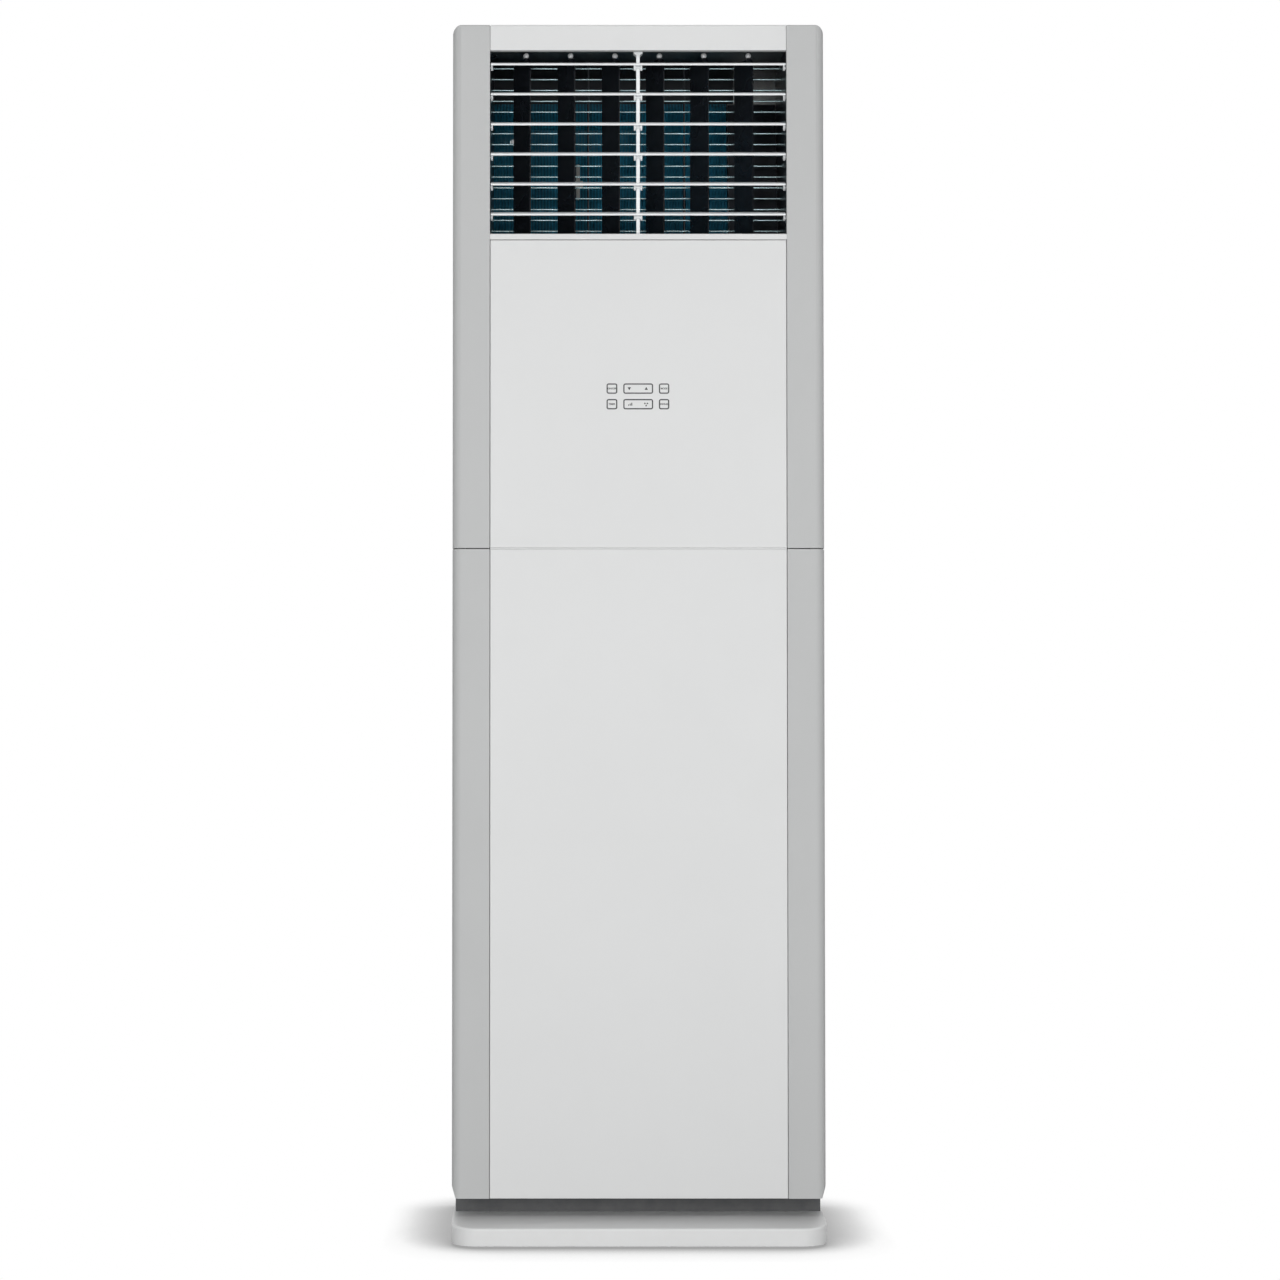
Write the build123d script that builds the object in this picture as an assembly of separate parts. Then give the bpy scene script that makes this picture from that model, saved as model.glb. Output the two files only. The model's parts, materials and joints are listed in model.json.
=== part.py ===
from build123d import *
import os
from math import atan2, cos, degrees, hypot, radians, sin

# Floor-standing cabinet air conditioner, indoor unit.  Millimetres, +Z up, the front faces -Y.
# The origin is at the middle of the footprint, on the floor.

# ---- Driving dimensions ----
# Cabinet
overall_height = 1870.0
body_width = 572.0
overall_depth = 395.0
plinth_reach = 45.0           # the plinth stands this far in front of the body's face
plinth_edge = 27.0            # height of the plinth's front edge above its rim
plinth_rise = 9.0             # the plinth's top climbs this much towards the neck
plinth_corner = 40.0
plinth_wall = 3.0
foot_size = 36.0
foot_corner = 8.0
foot_height = 3.0
foot_inset = 50.0
neck_height = 29.0
neck_recess = 60.0            # the neck stands this far behind the body's face
neck_side_inset = 4.0
neck_wall = 2.0
edge_round = 15.0             # upright front corners, in plan
top_round = 15.0              # top corners, seen from the front
rear_round = 4.0
crown_round = 4.0             # front top edge, seen from the side
tuck_width = 6.0              # the body's sides draw in at the foot
tuck_height = 19.0
sheet = 1.2                   # steel panels
hem = 1.3                     # second thickness of a hemmed edge
frame_wall = 3.0              # moulded front frames
frame_depth = 40.0
pillar_width = 57.5
return_depth = 12.0           # window returns of the front frames
ledge_width = 9.0
lid_drop = 25.0               # depth of the top cover's skirt
side_flange = 18.0
seam = 1.4                    # gap between the upper and lower front
groove = 0.7                  # gap between a panel and its pillar
panel_wall = 3.5
panel_edge_round = 1.6
lower_share = 0.551           # the front's seam stands at this share of the body's height
top_band = 40.0
sill_height = 9.0
trim_wall = 1.5               # the trim over the outlet lies this deep in its frame
outlet_height = 284.0

# Air outlet
duct_wall = 2.0
ceiling_climb = 12.0
louvre_count = 6
louvre_chord = 50.0
louvre_nose = 1.7             # nose radius of the blade
louvre_tail = 0.8
louvre_camber = 1.2
louvre_tilt = 12.0            # degrees, front edge down, as it stands at rest
louvre_set_back = 5.5         # blade's nose behind the body's face
louvre_lift = 5.0             # blade's mid-plane above its pivot
louvre_nose_reach = 13.0      # blade's nose in front of its pivot
louvre_top_margin = 20.7
louvre_bottom_margin = 30.4
louvre_end_gap = 1.0
ear_width = 3.0
ear_radius = 4.6
journal_radius = 3.0
middle_pin_radius = 2.0
running_clearance = 0.06
open_pivot_clearance = 0.3
pin_sides = 8                 # the lightly loaded pins are moulded with flats
seat_sides = 12
crank_length = 22.0
crank_width = 9.0
crank_thickness = 3.0
crank_pin_radius = 2.5
crank_gap = 1.5
journal_seat = 4.0            # the right journals run this far into the frame
link_thickness = 3.0
link_gap = 0.5
mullion_width = 5.5
mullion_front = 4.0           # mullion's front edge ahead of the louvre pivots
mullion_back = 12.0
mullion_head = 14.0
mullion_head_height = 5.5
mullion_lip = 2.0
mullion_gap = 0.7
vane_count = 6
vane_chord = 50.0
vane_nose_reach = 13.0
vane_thickness = 1.8
vane_turn = 32.0              # degrees, rear edge to the left, as it stands at rest
vane_pivot_depth = 76.5       # vane pivots behind the body's face
vane_wall_gap = 54.5
vane_pin_radius = 2.5
vane_drive_radius = 2.0
vane_corner = 6.0
vane_floor_gap = 7.0
vane_lever = 24.0
vane_link_lift = 1.5
vane_link_gap = 2.0
bush_radius = 4.6
bush_height = 9.0
guard_set_back = 142.0
guard_pitch = 17.3
guard_wire = 2.2
guard_stay = 3.0
guard_stay_count = 2

# Heat exchanger
coil_thickness = 38.0
coil_left_gap = 49.8          # from the left side sheet to the coil
coil_right_gap = 78.5         # from the coil to the duct's right wall
coil_foot_set_back = 102.5    # behind the body's face
coil_head_set_back = 270.5
coil_gap = 6.0                # between the duct's rear edge and the coil
coil_foot_rise = 88.0         # foot of the coil above the deck
coil_head_drop = 35.0         # head of the coil under the outlet's top edge
fin_pitch = 11.0
fin_gap = 7.0
fin_groove = 30.0
end_plate = 2.0
end_plate_lip = 6.0
bend_radius = 16.0
coil_tube_radius = 4.8
bend_stub = 6.0
bend_pitch = 75.0
sensor_offset = 50.0
sensor_radius = 3.0
sensor_length = 60.0
sensor_clip_width = 16.0
sensor_clip_height = 12.0
gas_pipe_radius = 8.0
liquid_pipe_radius = 4.8
pipe_spacing = 27.0
pipe_drop = 60.0              # the liquid pipe leaves the coil this much lower
pipe_bend = 24.0
pipe_from_rear = 19.0
pipe_end_height = 240.0
pipe_hole_gap = 2.0
nut_height = 24.0
nut_wall = 4.0

# Middle deck and drain pan
deck_drop = 12.0              # deck under the front's seam
deck_thickness = 2.0
pan_set_back = 37.5           # behind the body's face
pan_back_gap = 2.0
pan_height = 34.0
pan_wall = 2.0
pan_fall = 6.0
pan_side_gap = 2.0            # beside the side panels' folded edges
spout_radius = 9.0
spout_length = 26.0
baffle_thickness = 2.0
baffle_set_back = 68.5        # behind the body's face
baffle_lift = 8.0             # above the drain pan's floor
baffle_fold = 20.0

# Blower
wheel_radius = 170.0
wheel_height = 492.0          # wheel axis above the body's bottom
wheel_set_back = 156.5        # behind the body's face
wheel_pipe_gap = 6.8          # from the casing to the gas pipe behind it
wheel_offset = 27.0           # the wheel's axis stands left of the middle
wheel_disc = 2.0
wheel_ring = 3.0
wheel_ring_width = 20.0
blade_count = 24
blade_depth = 20.0
blade_thickness = 1.4
hub_radius = 16.0
hub_length = 40.0
shaft_radius = 6.0
shaft_hole_gap = 4.0
shaft_overhang = 10.0
scroll_wall = 2.0
scroll_tongue_gap = 20.0
scroll_growth = 54.0          # the spiral's radius grows this much over its three quarters
scroll_steps = 18
scroll_side_gap = 8.0
throat_spread = 160.0
throat_collar = 20.0
inlet_gap = 5.0
bell_depth = 12.0
bell_flare = 45.0             # degrees
mouth_sides = 28
motor_radius = 62.0
motor_length = 81.0
motor_chamfer = 8.0
motor_sides = 24
bracket_width = 280.0
bracket_margin = 12.0         # the bracket's folds clear the motor by this much
bracket_fold = 12.0

# Intake
intake_set_back = 112.5       # behind the body's face
intake_rear_gap = 37.5
intake_foot = 62.0            # foot of the intake above the body's bottom
intake_height = 600.0
slat_pitch = 30.0
slat_thickness = 2.4
slat_slope = 12.0
grille_depth = 10.0
grille_border = 8.0
grille_fit = 0.3
grille_flange = 2.0
grille_upright = 4.0
filter_inset = 26.8           # from the side sheet's inner face
filter_thickness = 5.0
filter_border = 12.0
filter_rib = 4.0
filter_net = 0.6
filter_step = 1.0             # the grid lies this much inside the frame's faces
filter_finger_hole = 60.0
filter_slot_gap = 1.0
filter_rows = 5
filter_columns = 2
filter_overlap = 12.0         # filter reaches past the intake above, below and in front
filter_clearance = 0.4
rail_thickness = 1.5
rail_lip = 7.0
rail_overhang = 4.0

# Rear
port_radius = 34.0
port_inset = 86.0             # from the body's right side
port_height = 95.0            # above the body's bottom
gland_radius = 9.0
gland_wall = 2.5
gland_length = 9.0
gland_offset = 60.0
anchor_spacing = 400.0
anchor_drop = 90.0
anchor_hole_radius = 5.0
anchor_plate_height = 40.0
anchor_plate = 3.0
screw_head_radius = 4.2
screw_head_height = 2.2
screw_rows = 5
screw_margin = 30.0           # from the rear panel's head and foot
screw_inset = 14.0            # beside the filters' slots

# Electrics
ebox_width = 260.0
ebox_height = 230.0
ebox_depth = 46.0
ebox_wall = 1.5
ebox_rise = 120.0             # above the deck
board_thickness = 1.6
board_gap = 6.0
board_margin = 12.0
board_rise = 60.0
board_post = 6.0
board_post_inset = 8.0
board_blocks = ((0.06, 0.13, 0.17, 0.26, 0.6), (0.75, 0.19, 0.09, 0.38, 0.4),
                (0.45, 0.51, 0.17, 0.19, 0.25))   # left, foot, width, height, depth, as shares
capacitor_width = 48.0
capacitor_depth = 22.0
capacitor_height = 34.0
capacitor_inset = 14.0
capacitor_ear = 8.0
terminal_height = 22.0
terminal_step = 10.0
terminal_depth = 24.0
terminal_inset = 15.0
terminal_ways = 7
terminal_slot = 2.0
touch_width = 130.0
touch_height = 70.0
touch_depth = 6.0
socket_width = 24.0
socket_height = 8.0
socket_depth = 4.0
socket_inset = 10.0
touch_centre_drop = 237.0     # touch keys under the upper panel's top edge
motor_can_radius = 14.0
motor_can_length = 19.0
motor_lug_reach = 6.0
motor_lug_width = 8.0
motor_lug_thickness = 2.0
motor_seat_depth = 6.0

# ---- Places worked out from the driving dimensions ----
half_width = body_width / 2
back_y = overall_depth / 2
plinth_front_y = -overall_depth / 2
face_y = plinth_front_y + plinth_reach
plinth_top = foot_height + plinth_edge + plinth_rise
body_bottom = plinth_top + neck_height
neck_front_y = face_y + neck_recess
frame_back_y = face_y + frame_depth
lid_z = overall_height - lid_drop
panel_half = half_width - pillar_width
seam_z = body_bottom + lower_share * (overall_height - body_bottom)
outlet_top = overall_height - top_band
outlet_bottom = outlet_top - outlet_height
panel_top = outlet_bottom - sill_height
window_back_y = face_y + return_depth
deck_top = seam_z - deck_drop
rear_inner_y = back_y - sheet
rear_panel_back_y = rear_inner_y - hem
rear_panel_front_y = rear_panel_back_y - sheet
side_inner = half_width - sheet

louvre_pitch = (outlet_height - louvre_top_margin - louvre_bottom_margin) / (louvre_count - 1)
tilt = radians(louvre_tilt)
nose_y = -louvre_nose_reach * cos(tilt) - louvre_lift * sin(tilt)
nose_z = -louvre_nose_reach * sin(tilt) + louvre_lift * cos(tilt)
louvre_pivot_y = face_y + louvre_set_back - nose_y
louvre_pivots_z = [outlet_top - louvre_top_margin - nose_z - n * louvre_pitch
                   for n in range(louvre_count)]
louvre_end = panel_half - louvre_end_gap
crank_x = -panel_half - duct_wall - crank_gap
link_x = crank_x - crank_thickness - link_gap
vane_pitch = (2 * panel_half - 2 * vane_wall_gap) / (vane_count - 1)
vane_pivot_y = face_y + vane_pivot_depth
vanes_x = [-panel_half + vane_wall_gap + n * vane_pitch for n in range(vane_count)]
ceiling_front_z = outlet_top + 1.0
ceiling_z = ceiling_front_z + ceiling_climb
guard_y = face_y + guard_set_back

coil_left = coil_left_gap - side_inner
coil_right = panel_half - coil_right_gap
coil_foot_y = face_y + coil_foot_set_back
coil_head_y = face_y + coil_head_set_back
coil_foot_z = deck_top + coil_foot_rise
coil_head_z = outlet_top - coil_head_drop
coil_length = hypot(coil_head_y - coil_foot_y, coil_head_z - coil_foot_z)
coil_lean = degrees(atan2(coil_head_y - coil_foot_y, coil_head_z - coil_foot_z))
coil_half_run = coil_thickness / 2 / cos(radians(coil_lean))

pipes_y = rear_panel_front_y - pipe_from_rear
wheel_z = body_bottom + wheel_height
wheel_y = face_y + wheel_set_back
wheel_width = pipes_y - gas_pipe_radius - wheel_pipe_gap - scroll_wall - scroll_side_gap - wheel_y
scroll_start = wheel_radius + scroll_tongue_gap
scroll_x = -wheel_offset
scroll_front_y = wheel_y - scroll_side_gap - scroll_wall
scroll_back_y = wheel_y + wheel_width + scroll_side_gap + scroll_wall
scroll_middle_y = (scroll_front_y + scroll_back_y) / 2
throat_right = scroll_x + scroll_start + scroll_growth
throat_left = scroll_x - throat_spread
deck_bottom = deck_top - deck_thickness
inlet_radius = wheel_radius - blade_depth - inlet_gap
bracket_y = scroll_front_y - scroll_wall
motor_front_y = bracket_y - motor_length

intake_front_y = face_y + intake_set_back
intake_back_y = back_y - intake_rear_gap
intake_bottom = body_bottom + intake_foot
intake_top = intake_bottom + intake_height
filter_bottom = intake_bottom - filter_overlap
filter_top = intake_top + filter_overlap
filter_front_y = intake_front_y - filter_overlap
port_z = body_bottom + port_height
anchor_z = lid_z - anchor_drop
port_x = half_width - port_inset
filter_x = side_inner - filter_inset
ebox_bottom = deck_top + ebox_rise
baffle_y = face_y + baffle_set_back
ebox_back_y = baffle_y
ebox_front_y = ebox_back_y - ebox_depth
touch_z = panel_top - touch_centre_drop


# ---- Shared ways of making a solid ----
def rect(u0, u1, v0, v1):
    return Pos((u0 + u1) / 2, (v0 + v1) / 2) * Rectangle(u1 - u0, v1 - v0)


def along_x(sketch, x0, x1):
    """A sketch drawn in Y and Z, carried from x0 to x1."""
    return extrude(Plane.YZ.offset(x0) * sketch, amount=x1 - x0)


def along_y(sketch, y0, y1):
    """A sketch drawn in X and Z, carried from y0 to y1."""
    return extrude(Plane.XZ.offset(-y1) * sketch, amount=y1 - y0)


def along_z(sketch, z0, z1):
    """A sketch drawn in X and Y, carried from z0 to z1."""
    return extrude(Plane.XY.offset(z0) * sketch, amount=z1 - z0)


def block(x0, x1, y0, y1, z0, z1):
    return along_z(rect(x0, x1, y0, y1), z0, z1)


def outline(points, rounds):
    """A closed outline whose corners are rounded where rounds gives a radius."""
    face = Polygon(*points, align=None)
    for corner, radius in rounds:
        face = fillet(face.vertices().sort_by_distance(points[corner])[0], radius)
    return face


def bar_outline(length, width):
    """A bar along the first axis, its ends cut back at the corners."""
    a, b, c = length / 2 + width / 2, width / 2, width * 0.29
    return Polygon((a, c - b), (a, b - c), (a - c, b), (c - a, b), (-a, b - c), (-a, c - b),
                   (c - a, -b), (a - c, -b), align=None)


def slot_to(u, v, half, closed, du, dv):
    """Slot through (u, v) that opens towards (du, dv) and closes a stated way past it."""
    reach = 2 * half + crank_width
    u0, u1 = sorted((u - du * closed, u + du * reach)) if du else (u - half, u + half)
    v0, v1 = sorted((v - dv * closed, v + dv * reach)) if dv else (v - half, v + half)
    return rect(u0, u1, v0, v1)


def notch(u, v, radius, du, dv):
    """Straight-sided seat that a pin drops into."""
    return slot_to(u, v, radius, radius, du, dv)


def flat_pin(radius):
    return RegularPolygon(radius, pin_sides)


def journal_pin(radius):
    """Round pin with a flat on either side."""
    return Circle(radius) & rect(-radius, radius, -radius / 2, radius / 2)


def flat_hole(radius):
    """Twelve-sided hole about a pin of the stated radius."""
    return RegularPolygon(radius, seat_sides, major_radius=False)


def snap_seat(u, v, radius, du, dv):
    """Seat whose mouth is a little narrower than the pin."""
    return Pos(u, v) * flat_hole(radius) + slot_to(u, v, radius * 0.85, 0, du, dv)


def link_seat(n, u, v, radius, du, dv):
    """Seat in a tie bar: the first is snug, the rest leave the pins some play."""
    if n == 0:
        return snap_seat(u, v, radius + running_clearance, du, dv)
    return notch(u, v, radius + open_pivot_clearance, du, dv)


def mirrored(shape):
    return mirror(shape, about=Plane.YZ)


# ---- Cabinet ----
def cabinet_form(inset=0.0):
    """The body's outer form, or the same form drawn in by a wall."""
    w, top, foot = half_width - inset, overall_height - inset, body_bottom + inset
    front, back = face_y + inset, back_y - inset
    plan = outline([(-w, front), (w, front), (w, back), (-w, back)],
                   [(0, edge_round - inset), (1, edge_round - inset),
                    (2, rear_round - inset), (3, rear_round - inset)])
    front_view = outline([(-w + tuck_width, foot), (w - tuck_width, foot), (w, foot + tuck_height),
                          (w, top), (-w, top), (-w, foot + tuck_height)],
                         [(3, top_round - inset), (4, top_round - inset)])
    side_view = outline([(front, foot), (back, foot), (back, top), (front, top)],
                        [(3, crown_round - min(inset, crown_round / 2))])
    return along_x(side_view, -w, w) & along_z(plan, foot, top) & along_y(front_view, front, back)


def skin(wall):
    return cabinet_form() - cabinet_form(wall)


def base_plinth():
    def form(inset):
        w, front, back = half_width - inset, plinth_front_y + inset, back_y - inset
        plan = outline([(-w, front), (w, front), (w, back - rear_round), (w - rear_round, back),
                        (rear_round - w, back), (-w, back - rear_round)],
                       [(0, plinth_corner - inset), (1, plinth_corner - inset)])
        top = plinth_top - inset
        side = Polygon((front, foot_height), (back, foot_height), (back, top), (neck_front_y, top),
                       (front, top - plinth_rise), align=None)
        return along_z(plan, foot_height, plinth_top) & along_x(side, -w, w)

    outer = form(0.0)
    rim = [e for e in outer.edges() if e.center().Z > plinth_top - plinth_rise - 1
           and e.center().Y < neck_front_y - 1 and e.bounding_box().size.X > plinth_wall]
    shell = chamfer(rim, crown_round / 2) - form(plinth_wall)
    ribs = [block(-half_width + plinth_wall, half_width - plinth_wall, y, y + plinth_wall,
                  foot_height + plinth_wall, plinth_top - plinth_wall)
            for y in (neck_front_y, back_y - foot_inset - foot_size)]
    seats = [along_z(Pos(x, y) * foot_outline(foot_size + 2 * plinth_wall), foot_height,
                     plinth_top) & form(plinth_wall / 2) for x, y in foot_places()]
    return shell + ribs + seats


def foot_outline(size):
    h, c = size / 2, foot_corner
    return Polygon((h, c - h), (h, h - c), (h - c, h), (c - h, h), (-h, h - c), (-h, c - h),
                   (c - h, -h), (h - c, -h), align=None)


def foot_places():
    xs = (-half_width + foot_inset, half_width - foot_inset)
    return [(x, y) for x in xs for y in (plinth_front_y + foot_inset, back_y - foot_inset)]


def foot_pads():
    return [along_z(Pos(x, y) * foot_outline(foot_size), 0, foot_height) for x, y in foot_places()]


def base_frame():
    w, back = half_width - neck_side_inset, back_y - neck_side_inset
    box = block(-w, w, neck_front_y, back, plinth_top, body_bottom)
    hollow = block(-w + neck_wall, w - neck_wall, neck_front_y + neck_wall, back - neck_wall,
                   plinth_top, body_bottom - neck_wall)
    front_corners = box.edges().filter_by(Axis.Z).group_by(Axis.Y)[0]
    return fillet(front_corners, rear_round) - hollow


def front_frame(z0, z1):
    """The stretch of the moulded front skin between two heights."""
    return skin(frame_wall) & block(-half_width, half_width, face_y, frame_back_y, z0, z1)


def window_cut(z0, z1):
    return block(-panel_half, panel_half, face_y - 1, window_back_y, z0, z1)


def window_return(side, z0, z1):
    """Upright return beside a window, with the ledge that a panel's rim rests on."""
    edge = side * panel_half
    outer = side * (panel_half + frame_wall)
    inner = side * (panel_half - ledge_width)
    x0, x1 = sorted((edge, outer))
    ledge0, ledge1 = sorted((inner, outer))
    wall = block(x0, x1, face_y + frame_wall / 2, window_back_y, z0, z1)
    return wall + block(ledge0, ledge1, window_back_y, window_back_y + frame_wall / 2, z0, z1)


def upper_front_frame():
    z0 = seam_z + seam / 2
    frame = front_frame(z0, overall_height)
    frame -= window_cut(z0 - 1, outlet_top)
    for side in (-1, 1):
        frame += window_return(side, z0, panel_top + sill_height / 2)
        x0, x1 = sorted((side * panel_half, side * (panel_half + frame_wall)))
        frame += block(x0, x1, face_y + frame_wall / 2, window_back_y, panel_top,
                       outlet_top + frame_wall)
    w = panel_half + frame_wall
    frame += block(-w, w, face_y + frame_wall / 2, window_back_y, outlet_top, outlet_top + frame_wall)
    rail = block(-w, w, window_back_y, window_back_y + frame_wall / 2, z0, z0 + 2 * ledge_width)
    return frame + rail - head_band(panel_half, 1.0)


def head_band(half, beyond):
    """Thin band that wraps over the body's front top edge, down to the outlet."""
    return skin(trim_wall) & block(-half, half, face_y - beyond, window_back_y,
                                   outlet_top - beyond, overall_height + beyond)


def outlet_trim():
    """Light strips between the pillars: the band over the outlet and the sill under it."""
    sill = along_x(outline([(face_y, panel_top), (window_back_y, panel_top),
                            (window_back_y, outlet_bottom), (face_y, outlet_bottom)],
                           [(3, panel_edge_round)]), -panel_half, panel_half)
    return [head_band(panel_half - groove, 0.0), sill]


def lower_front_frame():
    z1 = seam_z - seam / 2
    frame = front_frame(body_bottom, z1) - window_cut(body_bottom - 1, z1 + 1)
    for side in (-1, 1):
        frame += window_return(side, body_bottom, z1)
    w = panel_half + frame_wall
    rails = [block(-w, w, window_back_y, window_back_y + frame_wall / 2, z, z + 2 * ledge_width)
             for z in (body_bottom, z1 - 2 * ledge_width)]
    return frame + rails


def front_panel(z0, z1):
    """Moulded panel: a flat face with a rim that seats on the frame's ledges."""
    w = panel_half - groove
    outer = block(-w, w, face_y, window_back_y, z0, z1)
    outer = fillet(outer.faces().sort_by(Axis.Y)[0].edges(), panel_edge_round)
    return outer - block(-w + panel_wall, w - panel_wall, face_y + panel_wall, window_back_y,
                         z0 + panel_wall, z1 - panel_wall)


def side_panel():
    """Right-hand sheet: folded in at the front and the foot, hemmed at the back."""
    inner = half_width - side_flange
    panel = skin(sheet) & block(inner, half_width, frame_back_y, back_y, body_bottom, lid_z)
    panel += block(inner, side_inner, frame_back_y, frame_back_y + sheet,
                   body_bottom + tuck_height, lid_z)
    panel += block(inner, side_inner - rear_round / 2, rear_panel_back_y, rear_inner_y,
                   body_bottom + tuck_height, lid_z)
    panel -= block(side_inner - 1, half_width + 1, intake_front_y, intake_back_y,
                   intake_bottom, intake_top)
    return panel


def top_cover():
    return skin(sheet) & block(-half_width, half_width, frame_back_y, back_y, lid_z, overall_height)


def rear_panel():
    w = side_inner - rear_round / 2
    foot = body_bottom + sheet
    sheet_blank = Polygon((-w + tuck_width, foot), (w - tuck_width, foot),
                          (w, body_bottom + tuck_height), (w, lid_z), (-w, lid_z),
                          (-w, body_bottom + tuck_height), align=None)
    for x in (-filter_x - filter_thickness / 2, filter_x + filter_thickness / 2):
        half = filter_thickness / 2 + filter_slot_gap
        sheet_blank -= rect(x - half, x + half, filter_bottom - 2 * filter_slot_gap,
                            filter_top + 2 * filter_slot_gap)
    sheet_blank -= Pos(port_x, port_z) * Circle(port_radius)
    sheet_blank -= Pos(port_x - gland_offset, port_z) * flat_pin(gland_radius)
    for x in (-anchor_spacing / 2, anchor_spacing / 2):
        sheet_blank -= Pos(x, anchor_z) * Circle(anchor_hole_radius)
    return along_y(sheet_blank, rear_panel_front_y, rear_panel_back_y)


def anchor_plate_strip():
    """Stiffener behind the rear panel's two wall-anchor holes."""
    half = anchor_spacing / 2
    blank = Pos(0, anchor_z) * bar_outline(2 * half, anchor_plate_height)
    for x in (-half, half):
        blank -= Pos(x, anchor_z) * RegularPolygon(anchor_hole_radius, 6, major_radius=False)
    return along_y(blank, rear_panel_front_y - anchor_plate, rear_panel_front_y)


def cable_gland():
    """Rubber bush in the rear panel that the supply cable passes through."""
    ring = flat_pin(gland_radius) - flat_pin(gland_radius - gland_wall)
    return along_y(Pos(port_x - gland_offset, port_z) * ring, rear_panel_back_y - gland_length,
                   rear_panel_back_y + screw_head_height)


def case_screws():
    """Hexagon heads down both edges of the rear panel."""
    head = along_y(RegularPolygon(screw_head_radius, 6), 0, screw_head_height)
    low, high = body_bottom + tuck_height + screw_margin, lid_z - screw_margin
    zs = [low + n * (high - low) / (screw_rows - 1) for n in range(screw_rows)]
    edge = filter_x - screw_inset
    return [Pos(x, rear_panel_back_y, z) * head for x in (-edge, edge) for z in zs]


# ---- Air outlet ----
def coil_front_y(z):
    share = (z - coil_foot_z) / (coil_head_z - coil_foot_z)
    return coil_foot_y + share * (coil_head_y - coil_foot_y) - coil_half_run


def outlet_duct():
    """Open-ended channel round the air stream, with the seats that carry the blades.
    Its ceiling climbs from the front edge to the vanes; its rear edge follows the coil."""
    floor_rear = coil_front_y(outlet_bottom) - coil_gap
    roof_rear = coil_front_y(ceiling_z) - coil_gap
    beyond = roof_rear + coil_thickness
    inside = Polygon((window_back_y, outlet_bottom), (beyond, outlet_bottom), (beyond, ceiling_z),
                     (vane_pivot_y - 2 * bush_radius, ceiling_z), (window_back_y, ceiling_front_z),
                     align=None)
    lower, rise = outlet_bottom - duct_wall, ceiling_z + duct_wall
    outside = Polygon((window_back_y, lower), (floor_rear, lower), (roof_rear, rise),
                      (vane_pivot_y - 2 * bush_radius, rise),
                      (window_back_y, ceiling_front_z + duct_wall), align=None)
    w = panel_half + duct_wall
    duct = along_x(outside, -w, w) - along_x(inside, -panel_half, panel_half)
    bore = journal_radius + running_clearance
    seats = [snap_seat(louvre_pivot_y, z, bore, -1, 0) for z in louvre_pivots_z]
    duct -= along_x(Sketch() + seats, -w - 1, -panel_half + 1)
    notches = [notch(louvre_pivot_y, z, bore, -1, 0) for z in louvre_pivots_z]
    duct -= along_x(Sketch() + notches, panel_half - 1, w + 1)
    pin_hole = flat_hole(vane_pin_radius + running_clearance)
    duct -= along_z(Sketch() + [Pos(x, vane_pivot_y) * pin_hole for x in vanes_x], lower - 1,
                    outlet_bottom + 1)
    return duct - along_z(Pos(vanes_x[-1], vane_pivot_y) * pin_hole, ceiling_z - 1, rise + 1)


def vane_bushes():
    """White collars under the ceiling, one round the top pin of each vane."""
    hole = RegularPolygon(vane_pin_radius + open_pivot_clearance, pin_sides, major_radius=False)
    collar = flat_pin(bush_radius) - hole
    return [along_z(Pos(x, vane_pivot_y) * collar, ceiling_z - bush_height, ceiling_z)
            for x in vanes_x]


def centre_mullion():
    half, head = mullion_width / 2, mullion_head / 2
    top = ceiling_front_z
    shape = Polygon((-half, outlet_bottom), (half, outlet_bottom), (half, top - mullion_head_height),
                    (head, top - mullion_lip), (head, top), (-head, top), (-head, top - mullion_lip),
                    (-half, top - mullion_head_height), align=None)
    bar = along_y(shape, louvre_pivot_y - mullion_front, louvre_pivot_y + mullion_back)
    bore = middle_pin_radius + running_clearance
    seats = [notch(louvre_pivot_y, z, bore, -1, 0) for z in louvre_pivots_z]
    return bar - along_x(Sketch() + seats, -head, head)


def blade_outline():
    """Louvre section about its pivot: a bevelled nose, a slight camber and a thin tail."""
    front, rear = -louvre_nose_reach, louvre_chord - louvre_nose_reach
    middle, crown, level = (front + rear) / 2, louvre_lift + louvre_camber, louvre_lift
    n, t = louvre_nose, louvre_tail
    return Polygon((front, level + n / 2), (front, level - n / 2), (front + n, level - n),
                   (middle, crown - n), (rear, level - t), (rear, level + t),
                   (middle, crown + n), (front + n, level + n), align=None)


def ear(x0, x1):
    """Lug under the blade, about the pivot."""
    r, h = ear_radius, ear_radius / 2
    return along_x(Polygon((-r, louvre_lift), (-r, -h), (-h, -r), (h, -r), (r, -h),
                           (r, louvre_lift), align=None), x0, x1)


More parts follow.
